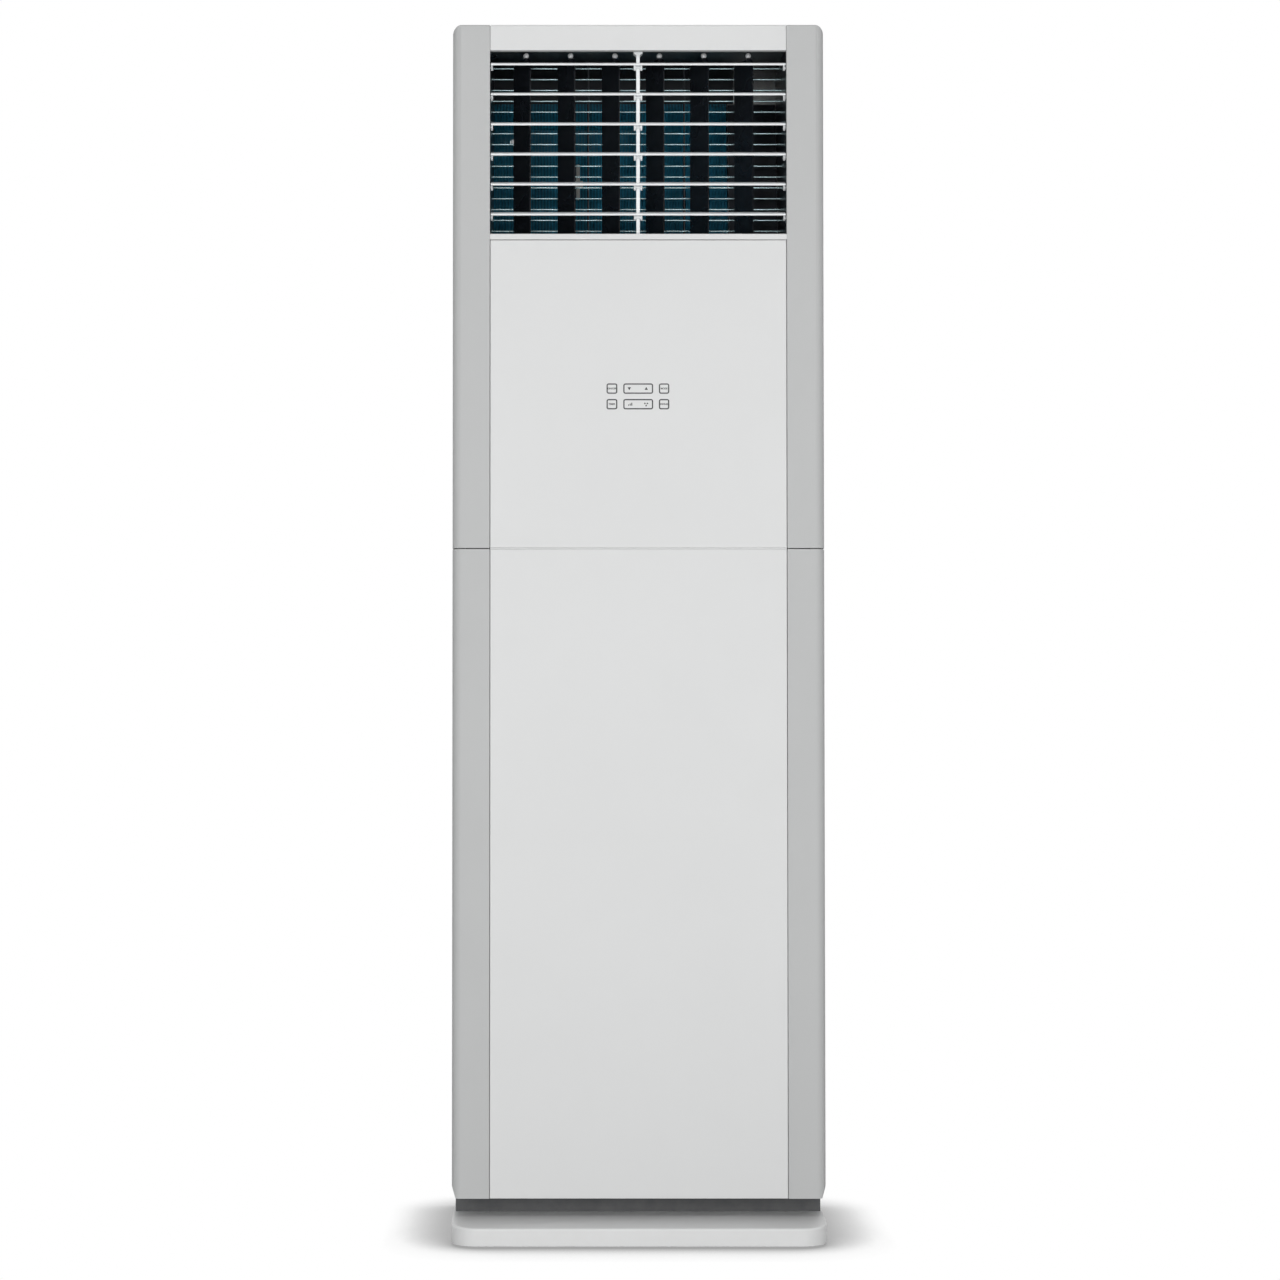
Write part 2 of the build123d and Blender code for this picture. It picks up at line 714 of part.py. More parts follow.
def louvre(n):
    """One blade with its lugs, journals, middle pin and crank, turned to its rest tilt."""
    z = louvre_pivots_z[n]
    blade = along_x(blade_outline(), -louvre_end, louvre_end)
    slot = mullion_width / 2 + mullion_gap
    slot_rear = (mullion_back + louvre_lift) * 1.5
    blade -= block(-slot, slot, -mullion_front * 2.1, slot_rear, 0, 2 * louvre_lift)
    end_lugs = ear(-louvre_end, -louvre_end + ear_width) + ear(louvre_end - ear_width, louvre_end)
    middle_lugs = ear(-slot - ear_width, -slot) + ear(slot, slot + ear_width)
    middle_pin = along_x(flat_pin(middle_pin_radius), -slot - 1, slot + 1)
    left_journal = along_x(journal_pin(journal_radius), crank_x, -louvre_end + 1)
    right_journal = along_x(flat_pin(journal_radius), louvre_end - 1,
                            panel_half + frame_wall + journal_seat)
    arm = Pos(crank_length / 2, 0) * bar_outline(crank_length, crank_width)
    crank = along_x(arm, crank_x - crank_thickness, crank_x)
    pin = along_x(Pos(crank_length, 0) * (flat_pin if n else journal_pin)(crank_pin_radius),
                  link_x - link_thickness - 1.0, crank_x - 1.0)
    whole = blade + end_lugs + middle_lugs + middle_pin + left_journal + right_journal + crank + pin
    return Pos(0, louvre_pivot_y, z) * Rot(louvre_tilt, 0, 0) * whole


def louvre_link():
    """Upright bar that ties the six cranks together."""
    y = louvre_pivot_y + crank_length * cos(tilt)
    rise = crank_length * sin(tilt)
    top, bottom = louvre_pivots_z[0] + rise, louvre_pivots_z[-1] + rise
    bar = Pos(y, (top + bottom) / 2) * Rot(0, 0, 90) * bar_outline(top - bottom, crank_width)
    for n, z in enumerate(louvre_pivots_z):
        bar -= link_seat(n, y, z + rise, crank_pin_radius, 1, 0)
    return along_x(bar, link_x - link_thickness, link_x)


def vane_levels():
    """Heights of the duct floor, the tie bar's underside and top, and the vane's foot."""
    foot = outlet_bottom + vane_floor_gap
    return outlet_bottom + vane_link_lift, foot - vane_link_gap, foot


def vane(n):
    """One upright blade with its two pivot pins and the pin that the tie bar drives."""
    x = vanes_x[n]
    bar_low, _, foot = vane_levels()
    top = ceiling_z - bush_height - 1.0
    rear = vane_chord - vane_nose_reach
    front, cut = -vane_nose_reach, vane_corner
    side = Polygon((front, foot + cut), (front + cut, foot), (rear - cut, foot), (rear, foot + cut),
                   (rear, top - cut), (rear - cut, top), (front + cut, top), (front, top - cut),
                   align=None)
    blade = along_x(side, -vane_thickness / 2, vane_thickness / 2)
    stem = along_z(journal_pin(vane_pin_radius), outlet_bottom - duct_wall, foot + cut)
    driven = n == vane_count - 1
    peg = along_z(flat_pin(vane_pin_radius), top - cut, ceiling_z + (duct_wall if driven else -1.0))
    drive = along_z(Pos(0, vane_lever) * (flat_pin if n else journal_pin)(vane_drive_radius),
                    bar_low, foot + 1.0)
    return Pos(x, vane_pivot_y, 0) * Rot(0, 0, vane_turn) * (blade + stem + peg + drive)


def vane_link():
    """Level bar that ties the six vanes together, just above the duct's floor."""
    turn = radians(vane_turn)
    dx, dy = -vane_lever * sin(turn), vane_lever * cos(turn)
    left, right = vanes_x[0] + dx, vanes_x[-1] + dx
    y = vane_pivot_y + dy
    bar = Pos((left + right) / 2, y) * bar_outline(right - left, crank_width)
    for n, x in enumerate(vanes_x):
        bar -= link_seat(n, x + dx, y, vane_drive_radius, 0, 1)
    bar_low, bar_high, _ = vane_levels()
    return along_z(bar, bar_low, bar_high)


def wire_guard():
    """Finger guard: level wires between the duct's walls, welded to upright stays behind them."""
    count = int((ceiling_z - outlet_bottom) / guard_pitch)
    first = (ceiling_z + outlet_bottom - (count - 1) * guard_pitch) / 2
    half = guard_wire / 2
    back = guard_y + half
    wires = [block(-panel_half, panel_half, guard_y - half, back, z - half, z + half)
             for z in (first + n * guard_pitch for n in range(count))]
    step = 2 * panel_half / (guard_stay_count + 1)
    stays = [block(x - guard_stay / 2, x + guard_stay / 2, back, back + guard_stay, outlet_bottom,
                   ceiling_z) for x in (-panel_half + (n + 1) * step for n in range(guard_stay_count))]
    return wires + stays


def swing_motor(origin, x_dir, z_dir):
    """Flat geared motor with two fixing lugs, bored for the journal that it drives."""
    can = extrude(RegularPolygon(motor_can_radius, seat_sides), amount=motor_can_length)
    can += extrude(bar_outline(2 * motor_can_radius + motor_lug_reach, motor_lug_width),
                   amount=motor_lug_thickness)
    can -= extrude(flat_hole(journal_radius + running_clearance), amount=motor_seat_depth)
    return Plane(origin=origin, x_dir=x_dir, z_dir=z_dir) * can


def swing_motors():
    """One beside the lowest louvre, standing on the frame, and one on the duct's ceiling."""
    beside = (panel_half + frame_wall, louvre_pivot_y, louvre_pivots_z[-1])
    above = (vanes_x[-1], vane_pivot_y, ceiling_z + duct_wall)
    return [swing_motor(beside, (0, 0, 1), (1, 0, 0)), swing_motor(above, (1, 0, 0), (0, 0, 1))]


# ---- Heat exchanger, drawn upright about its foot and then leaned back ----
def leaned(shape):
    return Pos(0, coil_foot_y, coil_foot_z) * Rot(-coil_lean, 0, 0) * shape


def evaporator_fins():
    """Fin block, combed on the face towards the outlet."""
    half = coil_thickness / 2
    count = int((coil_right - coil_left - fin_pitch) / fin_pitch)
    start = (coil_left + coil_right - (count - 1) * fin_pitch) / 2
    gaps = [rect(x - fin_gap / 2, x + fin_gap / 2, -half - 1, -half + fin_groove)
            for x in (start + n * fin_pitch for n in range(count))]
    return leaned(extrude(rect(coil_left, coil_right, -half, half) - gaps, amount=coil_length))


def evaporator_end_plates():
    """Punched plates at the coil's ends; the right one reaches across to the duct's wall."""
    half = coil_thickness / 2
    left = block(coil_left - end_plate, coil_left, -half - end_plate_lip, half + end_plate_lip,
                 0, coil_length)
    right = block(coil_right, coil_right + end_plate, -half, half + end_plate_lip, 0, coil_length)
    blank = block(coil_right, panel_half, -half, -half + end_plate, 0, coil_length)
    return [leaned(left), leaned(right + blank)]


def evaporator_bends():
    """Return bends of the tubes, standing out of the left end plate."""
    count = int((coil_length - bend_pitch) / bend_pitch) + 1
    first = (coil_length - (count - 1) * bend_pitch) / 2
    x0, r = coil_left - end_plate, bend_radius
    x1 = x0 - bend_stub
    flat = r * 0.414
    bends = []
    for n in range(count):
        z = first + n * bend_pitch
        path = Polyline((x0, 0, z - r), (x1, 0, z - r), (x1 - r, 0, z - flat), (x1 - r, 0, z + flat),
                        (x1, 0, z + r), (x0, 0, z + r))
        section = Plane(origin=(x0, 0, z - r), z_dir=(-1, 0, 0)) * RegularPolygon(coil_tube_radius, 6)
        bends.append(leaned(sweep(section, path=path, transition=Transition.RIGHT)))
    return bends


def pipe_start():
    """Where the two refrigerant pipes leave the right end plate: Y and Z."""
    z = coil_foot_z + 0.6 * (coil_head_z - coil_foot_z)
    return coil_front_y(z) + coil_half_run, z


def refrigerant_pipe(radius, x, drop):
    y, z = pipe_start()
    z -= drop
    lean = (coil_head_y - coil_foot_y) / (coil_head_z - coil_foot_z)
    y -= drop * lean
    path = Polyline((coil_right + end_plate, y, z), (x - pipe_bend, y, z), (x, y + pipe_bend, z),
                    (x, pipes_y - pipe_bend, z), (x, pipes_y, z - pipe_bend),
                    (x, pipes_y, pipe_end_height))
    start = Plane(origin=(coil_right + end_plate, y, z), z_dir=(1, 0, 0))
    return sweep(start * flat_pin(radius), path=path, transition=Transition.RIGHT)


def pipe_places():
    gas_x = port_x + pipe_spacing / 2
    return (gas_pipe_radius, gas_x, 0.0), (liquid_pipe_radius, gas_x - pipe_spacing, pipe_drop)


def refrigerant_pipes():
    return [refrigerant_pipe(*place) for place in pipe_places()]


def flare_nuts():
    """Capped nuts on the ends of the two pipes."""
    return [along_z(Pos(x, pipes_y) * RegularPolygon(radius + nut_wall, 6),
                    pipe_end_height - nut_height, pipe_end_height) for radius, x, _ in pipe_places()]


def coil_sensor():
    """Probe in a spring clip on the coil's front face."""
    half = coil_thickness / 2
    place = Pos((coil_left + coil_right) / 2 - sensor_offset, -half - sensor_radius)
    probe = extrude(place * RegularPolygon(sensor_radius, 8, major_radius=False),
                    amount=sensor_length)
    reach = sensor_clip_width / 2
    clip = extrude(place * rect(-reach, reach, -sensor_radius / 2, sensor_radius),
                   amount=sensor_clip_height)
    return leaned(Pos(0, 0, 0.75 * coil_length) * (probe + Pos(0, 0, sensor_length / 3) * clip))


# ---- Middle deck and drain pan ----
def partition_deck():
    """Deck between the blower and the coil, with the throat and pipe holes."""
    blank = rect(-side_inner, side_inner, frame_back_y + sheet, rear_panel_front_y)
    blank -= rect(throat_left + scroll_wall, throat_right - scroll_wall,
                  scroll_front_y + scroll_wall, scroll_back_y - scroll_wall)
    for radius, x, _ in pipe_places():
        blank -= Pos(x, pipes_y) * flat_pin(radius + pipe_hole_gap)
    blank -= Pos(*spout_place()) * flat_pin(spout_radius)
    return along_z(blank, deck_bottom, deck_top)


def pan_span():
    return face_y + pan_set_back, scroll_front_y - pan_back_gap


def pan_half_width():
    return half_width - side_flange - pan_side_gap


def spout_place():
    front, back = pan_span()
    return -pan_half_width() + 3 * spout_radius, (front + back) / 2


def drain_pan():
    """Trough under the coil's foot, its floor falling to the spout."""
    front, back = pan_span()
    w = pan_half_width()
    outer = block(-w, w, front, back, deck_top, deck_top + pan_height)
    well = Polygon((-w + pan_wall, deck_top + pan_wall), (w - pan_wall, deck_top + pan_wall + pan_fall),
                   (w - pan_wall, deck_top + pan_height), (-w + pan_wall, deck_top + pan_height),
                   align=None)
    tray = outer - along_y(well, front + pan_wall, back - pan_wall)
    spout = Pos(*spout_place())
    tray += along_z(spout * flat_pin(spout_radius), deck_top - spout_length, deck_top)
    return tray - along_z(spout * flat_pin(spout_radius - pan_wall), deck_top - spout_length,
                          deck_top + pan_wall)


def air_baffle():
    """Upright sheet that parts the cold air from the electrics, folded at its head."""
    w = panel_half
    foot, head = deck_top + pan_wall + baffle_lift, outlet_bottom - duct_wall
    sheet_part = block(-w, w, baffle_y, baffle_y + baffle_thickness, foot, head)
    fold = block(-w, w, baffle_y, baffle_y + baffle_fold, head - baffle_thickness, head)
    return sheet_part + fold


# ---- Blower ----
def scroll_outline(top):
    """Spiral round the wheel from the tongue, down the left and up the right, then the throat."""
    points = []
    for n in range(scroll_steps + 1):
        share = n / scroll_steps
        turn, reach = radians(90 + 270 * share), scroll_start + scroll_growth * share
        points.append((scroll_x + reach * cos(turn), wheel_z + reach * sin(turn)))
    points += [(throat_right, top), (throat_left, top), (throat_left, deck_bottom - throat_collar)]
    return Polygon(*points, align=None)


def scroll_half(y0, y1, hollow0, hollow1):
    """One half of the casing from y0 to y1, hollow between two places and open at the throat."""
    hollow = offset(scroll_outline(deck_bottom + throat_collar), -scroll_wall, kind=Kind.INTERSECTION)
    return along_y(scroll_outline(deck_bottom), y0, y1) - along_y(hollow, hollow0, hollow1)


def scroll_front():
    wall = scroll_front_y + scroll_wall
    half = scroll_half(scroll_front_y, scroll_middle_y, wall, scroll_middle_y)
    return half - along_y(Pos(scroll_x, wheel_z) * flat_pin(shaft_radius + shaft_hole_gap),
                          scroll_front_y - 1, wall + 1)


def scroll_rear():
    """The half with the inlet, whose mouth flares outwards."""
    wall = scroll_back_y - scroll_wall
    half = scroll_half(scroll_middle_y, scroll_back_y, scroll_middle_y, wall)
    face = Plane(origin=(scroll_x, scroll_back_y, wheel_z), z_dir=(0, 1, 0))
    mouth = face * RegularPolygon(inlet_radius, mouth_sides)
    rim = face * RegularPolygon(inlet_radius + scroll_wall, mouth_sides)
    bell = extrude(rim, amount=bell_depth, taper=-bell_flare)
    bell -= extrude(mouth, amount=bell_depth, taper=-bell_flare)
    return half + bell - extrude(mouth, amount=-2 * scroll_wall)


def wheel_blade():
    """Section of one forward-curved blade, at the top of the wheel."""
    inner, outer = wheel_radius - blade_depth, (wheel_radius - 1.0) * cos(radians(180 / blade_count))
    mid, lead, t = (inner + outer) / 2, blade_depth * 0.45, blade_thickness
    return Polygon((t, inner), (lead * 0.2 + t, mid), (lead + t, outer), (lead, outer),
                   (lead * 0.2, mid), (0, inner), align=None)


def blower_wheel():
    """Drum of curved blades between a driven disc and an end ring, on a bored hub."""
    rim = RegularPolygon(wheel_radius, blade_count)
    disc = along_y(rim, wheel_y, wheel_y + wheel_disc)
    end_y = wheel_y + wheel_width
    ring = along_y(rim - RegularPolygon(wheel_radius - wheel_ring_width, blade_count),
                   end_y - wheel_ring, end_y)
    blade = along_y(wheel_blade(), wheel_y + wheel_disc / 2, end_y - wheel_ring / 2)
    blades = [Rot(0, n * 360 / blade_count, 0) * blade for n in range(blade_count)]
    hub = along_y(flat_pin(hub_radius), wheel_y, wheel_y + hub_length)
    bore = along_y(Circle(shaft_radius), wheel_y - 1, wheel_y + hub_length + 1)
    return Pos(scroll_x, 0, wheel_z) * (disc + blades + [ring, hub] - bore)


def blower_shaft():
    rod = along_y(Circle(shaft_radius), motor_front_y + shaft_overhang,
                  wheel_y + hub_length + shaft_overhang)
    return Pos(scroll_x, 0, wheel_z) * rod


def fan_motor():
    """Round motor with bevelled ends, bored right through its bearings."""
    can = along_y(RegularPolygon(motor_radius, motor_sides), motor_front_y, bracket_y)
    ends = can.faces().filter_by(Axis.Y)
    can = chamfer([edge for face in ends for edge in face.edges()], motor_chamfer)
    bore = along_y(flat_hole(shaft_radius + running_clearance), motor_front_y, bracket_y)
    return Pos(scroll_x, 0, wheel_z) * (can - bore)


def motor_bracket():
    """Pressed plate between the motor and the casing, folded forward at top and foot."""
    half = motor_radius + bracket_margin
    plate = rect(-bracket_width / 2, bracket_width / 2, -half, half)
    plate -= flat_pin(shaft_radius + shaft_hole_gap)
    bracket = along_y(plate, bracket_y, scroll_front_y)
    for z in (-half, half - scroll_wall):
        bracket += block(-bracket_width / 2, bracket_width / 2, bracket_y - bracket_fold, bracket_y,
                         z, z + scroll_wall)
    return Pos(scroll_x, 0, wheel_z) * bracket


# ---- Intake ----
def intake_grille():
    """Right-hand slatted insert: a border, sloped slats and an upright, with an inner flange."""
    y0, y1 = intake_front_y + grille_fit, intake_back_y - grille_fit
    z0, z1 = intake_bottom + grille_fit, intake_top - grille_fit
    b = grille_border
    inner = half_width - grille_depth
    border = along_x(rect(y0, y1, z0, z1) - rect(y0 + b, y1 - b, z0 + b, z1 - b), inner, half_width)
    flange = along_x(rect(y0 - b, y1 + b, z0 - b, z1 + b) - rect(y0 + b, y1 - b, z0 + b, z1 - b),
                     side_inner - grille_flange, side_inner)
    count = int((z1 - z0 - 2 * b) / slat_pitch)
    first = (z0 + z1 - (count - 1) * slat_pitch) / 2
    slats = []
    for n in range(count):
        z = first + n * slat_pitch
        section = Polygon((inner, z + slat_slope / 2), (half_width, z - slat_slope / 2),
                          (half_width, z - slat_slope / 2 + slat_thickness),
                          (inner, z + slat_slope / 2 + slat_thickness), align=None)
        slats.append(along_y(section, y0 + b, y1 - b))
    middle, half = (y0 + y1) / 2, grille_upright / 2
    upright = block(inner - half, inner, middle - half, middle + half, z0 + b, z1 - b)
    return [border + flange + slats, upright]


def air_filter():
    """Right-hand filter: a stiff frame and grid with a finger hole at the back, and the fine net
    that lies on the grid's inner face."""
    y0, y1 = filter_front_y, rear_panel_back_y
    z0, z1 = filter_bottom, filter_top
    b, half = filter_border, filter_rib / 2
    net_y0, net_y1, net_z0, net_z1 = y0 + b, y1 - 2 * b, z0 + b, z1 - b
    frame = rect(y0, y1, z0, z1) - rect(net_y0, net_y1, net_z0, net_z1)
    x0, x1 = filter_x, filter_x + filter_thickness
    grid = []
    for n in range(1, filter_rows):
        z = net_z0 + n * (net_z1 - net_z0) / filter_rows
        grid.append(block(x0 + filter_step, x1 - filter_step, net_y0, net_y1, z - half, z + half))
    for n in range(1, filter_columns):
        y = net_y0 + n * (net_y1 - net_y0) / filter_columns
        grid.append(block(x0 + filter_step, x1 - filter_step, y - half, y + half, net_z0, net_z1))
    net = block(x0 + filter_step - filter_net, x0 + filter_step, net_y0, net_y1, net_z0, net_z1)
    finger = along_x(Pos(y1 - b, (z0 + z1) / 2) * Rot(0, 0, 90)
                     * bar_outline(filter_finger_hole, b), x0 - 1, x1 + 1)
    return [along_x(frame, x0, x1) + grid - finger, net]


def filter_rail(edge, way):
    """Right-hand channel that a filter's edge slides in; way is up or down into the filter."""
    y0, y1 = filter_front_y - rail_overhang, rear_panel_front_y
    clear = filter_clearance
    x0, x1 = filter_x - clear - rail_thickness, filter_x + filter_thickness + clear
    base0, base1 = sorted((edge - way * clear, edge - way * (clear + rail_thickness)))
    lip0, lip1 = sorted((edge - way * clear, edge + way * (rail_lip - clear)))
    web = block(x0, side_inner, y0, y1, base0, base1)
    inner_lip = block(x0, x0 + rail_thickness, y0, y1, lip0, lip1)
    outer_lip = block(x1, x1 + rail_thickness, y0, y1, lip0, lip1)
    return web + inner_lip + outer_lip


def filter_rails():
    right = [filter_rail(filter_bottom, 1), filter_rail(filter_top, -1)]
    return right + [mirrored(rail) for rail in right]


# ---- Electrics ----
def electric_box():
    w = ebox_width / 2
    box = block(-w, w, ebox_front_y, ebox_back_y, ebox_bottom, ebox_bottom + ebox_height)
    return box - block(-w + ebox_wall, w - ebox_wall, ebox_front_y, ebox_back_y - ebox_wall,
                       ebox_bottom + ebox_wall, ebox_bottom + ebox_height - ebox_wall)


def electric_box_cover():
    w = ebox_width / 2 + ebox_wall
    z0, z1 = ebox_bottom - ebox_wall, ebox_bottom + ebox_height + ebox_wall
    lid = block(-w, w, ebox_front_y - ebox_wall, ebox_front_y + bracket_fold, z0, z1)
    return lid - block(-ebox_width / 2, ebox_width / 2, ebox_front_y, ebox_front_y + bracket_fold,
                       ebox_bottom, ebox_bottom + ebox_height)


def board_span():
    back = ebox_back_y - ebox_wall - board_gap
    return back - board_thickness, back


def main_board():
    """Control board on four posts, with its relay, transformer and driver blocks."""
    y0, y1 = board_span()
    w, half = ebox_width / 2 - board_margin, board_post / 2
    z0, z1 = ebox_bottom + board_rise, ebox_bottom + ebox_height - board_margin
    post_z = (z0 + board_post_inset, z1 - board_post_inset)
    posts = [block(x - half, x + half, y1, ebox_back_y - ebox_wall, z - half, z + half)
             for x in (-w + board_post_inset, w - board_post_inset) for z in post_z]
    blocks = []
    for left, foot, wide, tall, deep in board_blocks:
        x, z = -w + left * 2 * w, z0 + foot * (z1 - z0)
        blocks.append(block(x, x + wide * 2 * w, y0 - deep * (y0 - ebox_front_y), y0, z,
                            z + tall * (z1 - z0)))
    return block(-w, w, y0, y1, z0, z1) + posts + blocks


def run_capacitor():
    """Box-shaped motor capacitor with its fixing ear, on the electric box's floor."""
    x1, back, foot = ebox_width / 2 - capacitor_inset, ebox_back_y - ebox_wall, ebox_bottom + ebox_wall
    body = block(x1 - capacitor_width, x1, back - capacitor_depth, back, foot,
                 foot + capacitor_height)
    return body + block(x1, x1 + capacitor_ear, back - ebox_wall, back, foot + capacitor_ear,
                        foot + capacitor_height - capacitor_ear)


def terminal_block():
    """Stepped strip of cable terminals on the floor of the electric box, parted by slots."""
    foot = ebox_bottom + ebox_wall
    back = ebox_back_y - ebox_wall
    middle, front = back - terminal_depth / 2, back - terminal_depth
    profile = Polygon((back, foot), (back, foot + terminal_height), (middle, foot + terminal_height),
                      (middle, foot + terminal_step), (front, foot + terminal_step), (front, foot),
                      align=None)
    left, half = terminal_inset - ebox_width / 2, terminal_slot / 2
    cuts = [left - n * left / terminal_ways for n in range(1, terminal_ways)]
    slots = [block(x - half, x + half, front - 1, middle, foot + terminal_step / 2,
                   foot + terminal_step + 1) for x in cuts]
    return along_x(profile, left, 0) - slots


def touch_board():
    """Touch-key carrier on the upper panel's back."""
    w, h = touch_width / 2, touch_height / 2
    plate = rect(-w, w, touch_z - h, touch_z + h)
    back = face_y + panel_wall
    rear, right, foot = back + touch_depth, w - socket_inset, touch_z - h + socket_height
    socket = block(right - socket_width, right, rear, rear + socket_depth, foot, foot + socket_height)
    return along_y(plate, back, rear) + socket


# ---- Build and write every piece ----
pieces = {
    "base_plinth": base_plinth(),
    "foot_pads": foot_pads(),
    "base_frame": base_frame(),
    "side_panel_right": side_panel(),
    "side_panel_left": mirrored(side_panel()),
    "rear_panel": rear_panel(),
    "top_cover": top_cover(),
    "upper_front_frame": upper_front_frame(),
    "outlet_trim": outlet_trim(),
    "lower_front_frame": lower_front_frame(),
    "upper_front_panel": front_panel(seam_z + seam / 2, panel_top - groove),
    "lower_front_panel": front_panel(body_bottom, seam_z - seam / 2),
    "outlet_duct": outlet_duct(),
    "vane_bushes": vane_bushes(),
    "centre_mullion": centre_mullion(),
    "louvre_link": louvre_link(),
    "vane_link": vane_link(),
    "wire_guard": wire_guard(),
    "swing_motors": swing_motors(),
    "evaporator_fins": evaporator_fins(),
    "evaporator_end_plates": evaporator_end_plates(),
    "evaporator_bends": evaporator_bends(),
    "refrigerant_pipes": refrigerant_pipes(),
    "flare_nuts": flare_nuts(),
    "coil_sensor": coil_sensor(),
    "partition_deck": partition_deck(),
    "drain_pan": drain_pan(),
    "air_baffle": air_baffle(),
    "scroll_front": scroll_front(),
    "scroll_rear": scroll_rear(),
    "blower_wheel": blower_wheel(),
    "blower_shaft": blower_shaft(),
    "fan_motor": fan_motor(),
    "motor_bracket": motor_bracket(),
    "intake_grille_right": intake_grille(),
    "intake_grille_left": [mirrored(shape) for shape in intake_grille()],
    "filter_right": air_filter(),
    "filter_left": [mirrored(shape) for shape in air_filter()],
    "filter_rails": filter_rails(),
    "anchor_plate": anchor_plate_strip(),
    "cable_gland": cable_gland(),
    "case_screws": case_screws(),
    "electric_box": electric_box(),
    "electric_box_cover": electric_box_cover(),
    "main_board": main_board(),
    "run_capacitor": run_capacitor(),
    "terminal_block": terminal_block(),
    "touch_board": touch_board(),
}
for number in range(louvre_count):
    pieces[f"louvre_{number + 1}"] = louvre(number)
for number in range(vane_count):
    pieces[f"vane_{number + 1}"] = vane(number)

os.makedirs("parts", exist_ok=True)
for node, shape in pieces.items():
    solids = shape if isinstance(shape, list) else [shape]
    whole = Compound(children=[solid for piece in solids for solid in piece.solids()])
    export_step(whole, f"parts/{node}.step")
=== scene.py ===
import json
from math import atan2, cos, pi, radians, sin, tan

import bmesh
import bpy
from mathutils import Matrix, Vector


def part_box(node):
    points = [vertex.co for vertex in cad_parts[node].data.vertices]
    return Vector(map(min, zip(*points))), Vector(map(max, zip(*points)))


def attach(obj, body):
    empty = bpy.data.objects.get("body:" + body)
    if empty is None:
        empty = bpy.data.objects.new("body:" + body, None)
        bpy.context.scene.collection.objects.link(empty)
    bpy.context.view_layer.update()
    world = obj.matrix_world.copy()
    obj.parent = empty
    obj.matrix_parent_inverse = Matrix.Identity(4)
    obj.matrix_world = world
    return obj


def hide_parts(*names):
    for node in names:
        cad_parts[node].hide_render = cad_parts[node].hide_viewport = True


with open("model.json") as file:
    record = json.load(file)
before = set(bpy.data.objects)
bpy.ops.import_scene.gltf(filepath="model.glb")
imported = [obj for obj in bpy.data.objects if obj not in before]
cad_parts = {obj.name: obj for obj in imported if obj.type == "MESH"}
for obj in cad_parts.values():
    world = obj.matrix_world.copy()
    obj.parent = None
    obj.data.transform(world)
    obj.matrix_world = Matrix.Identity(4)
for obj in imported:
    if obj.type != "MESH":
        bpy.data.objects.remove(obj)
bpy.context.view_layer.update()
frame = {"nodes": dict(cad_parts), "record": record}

body_of_node = {node: body for body, nodes in frame["record"]["behaviour"]["bodies"].items()
                for node in nodes}


# ---- Rubber feet ----
# Four moulded rubber pads, pressed into seats in the plinth's underside.  Matt black, a little
# dusty where they meet the floor.
def finish(name, colour, rough, grain=900.0, bump=0.06, mottle=0.04, metallic=0.0, coat=0.0,
           dust=0.0, shine=0.5):
    """Moulded, painted or drawn surface: fine grain, uneven gloss, faint mottling and floor dust."""
    material = bpy.data.materials.new(name)
    material.use_nodes = True
    nodes, links = material.node_tree.nodes, material.node_tree.links
    shader = nodes["Principled BSDF"]
    shader.inputs["Metallic"].default_value = metallic
    shader.inputs["Coat Weight"].default_value = coat
    shader.inputs["Coat Roughness"].default_value = 0.12
    shader.inputs["Specular IOR Level"].default_value = shine
    place = nodes.new("ShaderNodeTexCoord").outputs["Object"]

    def noise(scale, detail):
        node = nodes.new("ShaderNodeTexNoise")
        node.inputs["Scale"].default_value = scale
        node.inputs["Detail"].default_value = detail
        links.new(place, node.inputs["Vector"])
        return node.outputs["Fac"]

    def spread(value, low, high, start=0.3, end=0.7):
        node = nodes.new("ShaderNodeMapRange")
        node.inputs["From Min"].default_value, node.inputs["From Max"].default_value = start, end
        node.inputs["To Min"].default_value, node.inputs["To Max"].default_value = low, high
        links.new(value, node.inputs["Value"])
        return node.outputs["Result"]

    def blend_colours(amount, first, second):
        node = nodes.new("ShaderNodeMix")
        node.data_type = "RGBA"
        links.new(amount, node.inputs[0])
        for socket, value in ((node.inputs[6], first), (node.inputs[7], second)):
            if isinstance(value, bpy.types.NodeSocket):
                links.new(value, socket)
            else:
                socket.default_value = (*value, 1.0)
        return node.outputs[2]

    worn = [channel * (1.0 - mottle) for channel in colour]
    paint = blend_colours(spread(noise(scale=3.0, detail=5.0), low=0.0, high=1.0), colour, worn)
    if dust:
        dust_colour, dust_height = (0.55, 0.53, 0.50), 0.12
        height = nodes.new("ShaderNodeSeparateXYZ")
        links.new(place, height.inputs["Vector"])
        near_floor = spread(height.outputs["Z"], low=1.0, high=0.0, start=0.0, end=dust_height)
        speckle = spread(noise(scale=60.0, detail=6.0), low=0.2, high=1.0)
        both = nodes.new("ShaderNodeMath")
        both.operation = "MULTIPLY"
        links.new(near_floor, both.inputs[0])
        links.new(speckle, both.inputs[1])
        amount = spread(both.outputs["Value"], low=0.0, high=dust, start=0.0, end=1.0)
        paint = blend_colours(amount, paint, dust_colour)
    links.new(paint, shader.inputs["Base Color"])
    gloss = spread(noise(scale=9.0, detail=4.0), low=rough * 0.9, high=rough * 1.12)
    links.new(gloss, shader.inputs["Roughness"])
    relief = nodes.new("ShaderNodeBump")
    relief.inputs["Strength"].default_value = bump
    relief.inputs["Distance"].default_value = 0.0003
    links.new(noise(scale=grain, detail=3.0), relief.inputs["Height"])
    links.new(relief.outputs["Normal"], shader.inputs["Normal"])
    return material


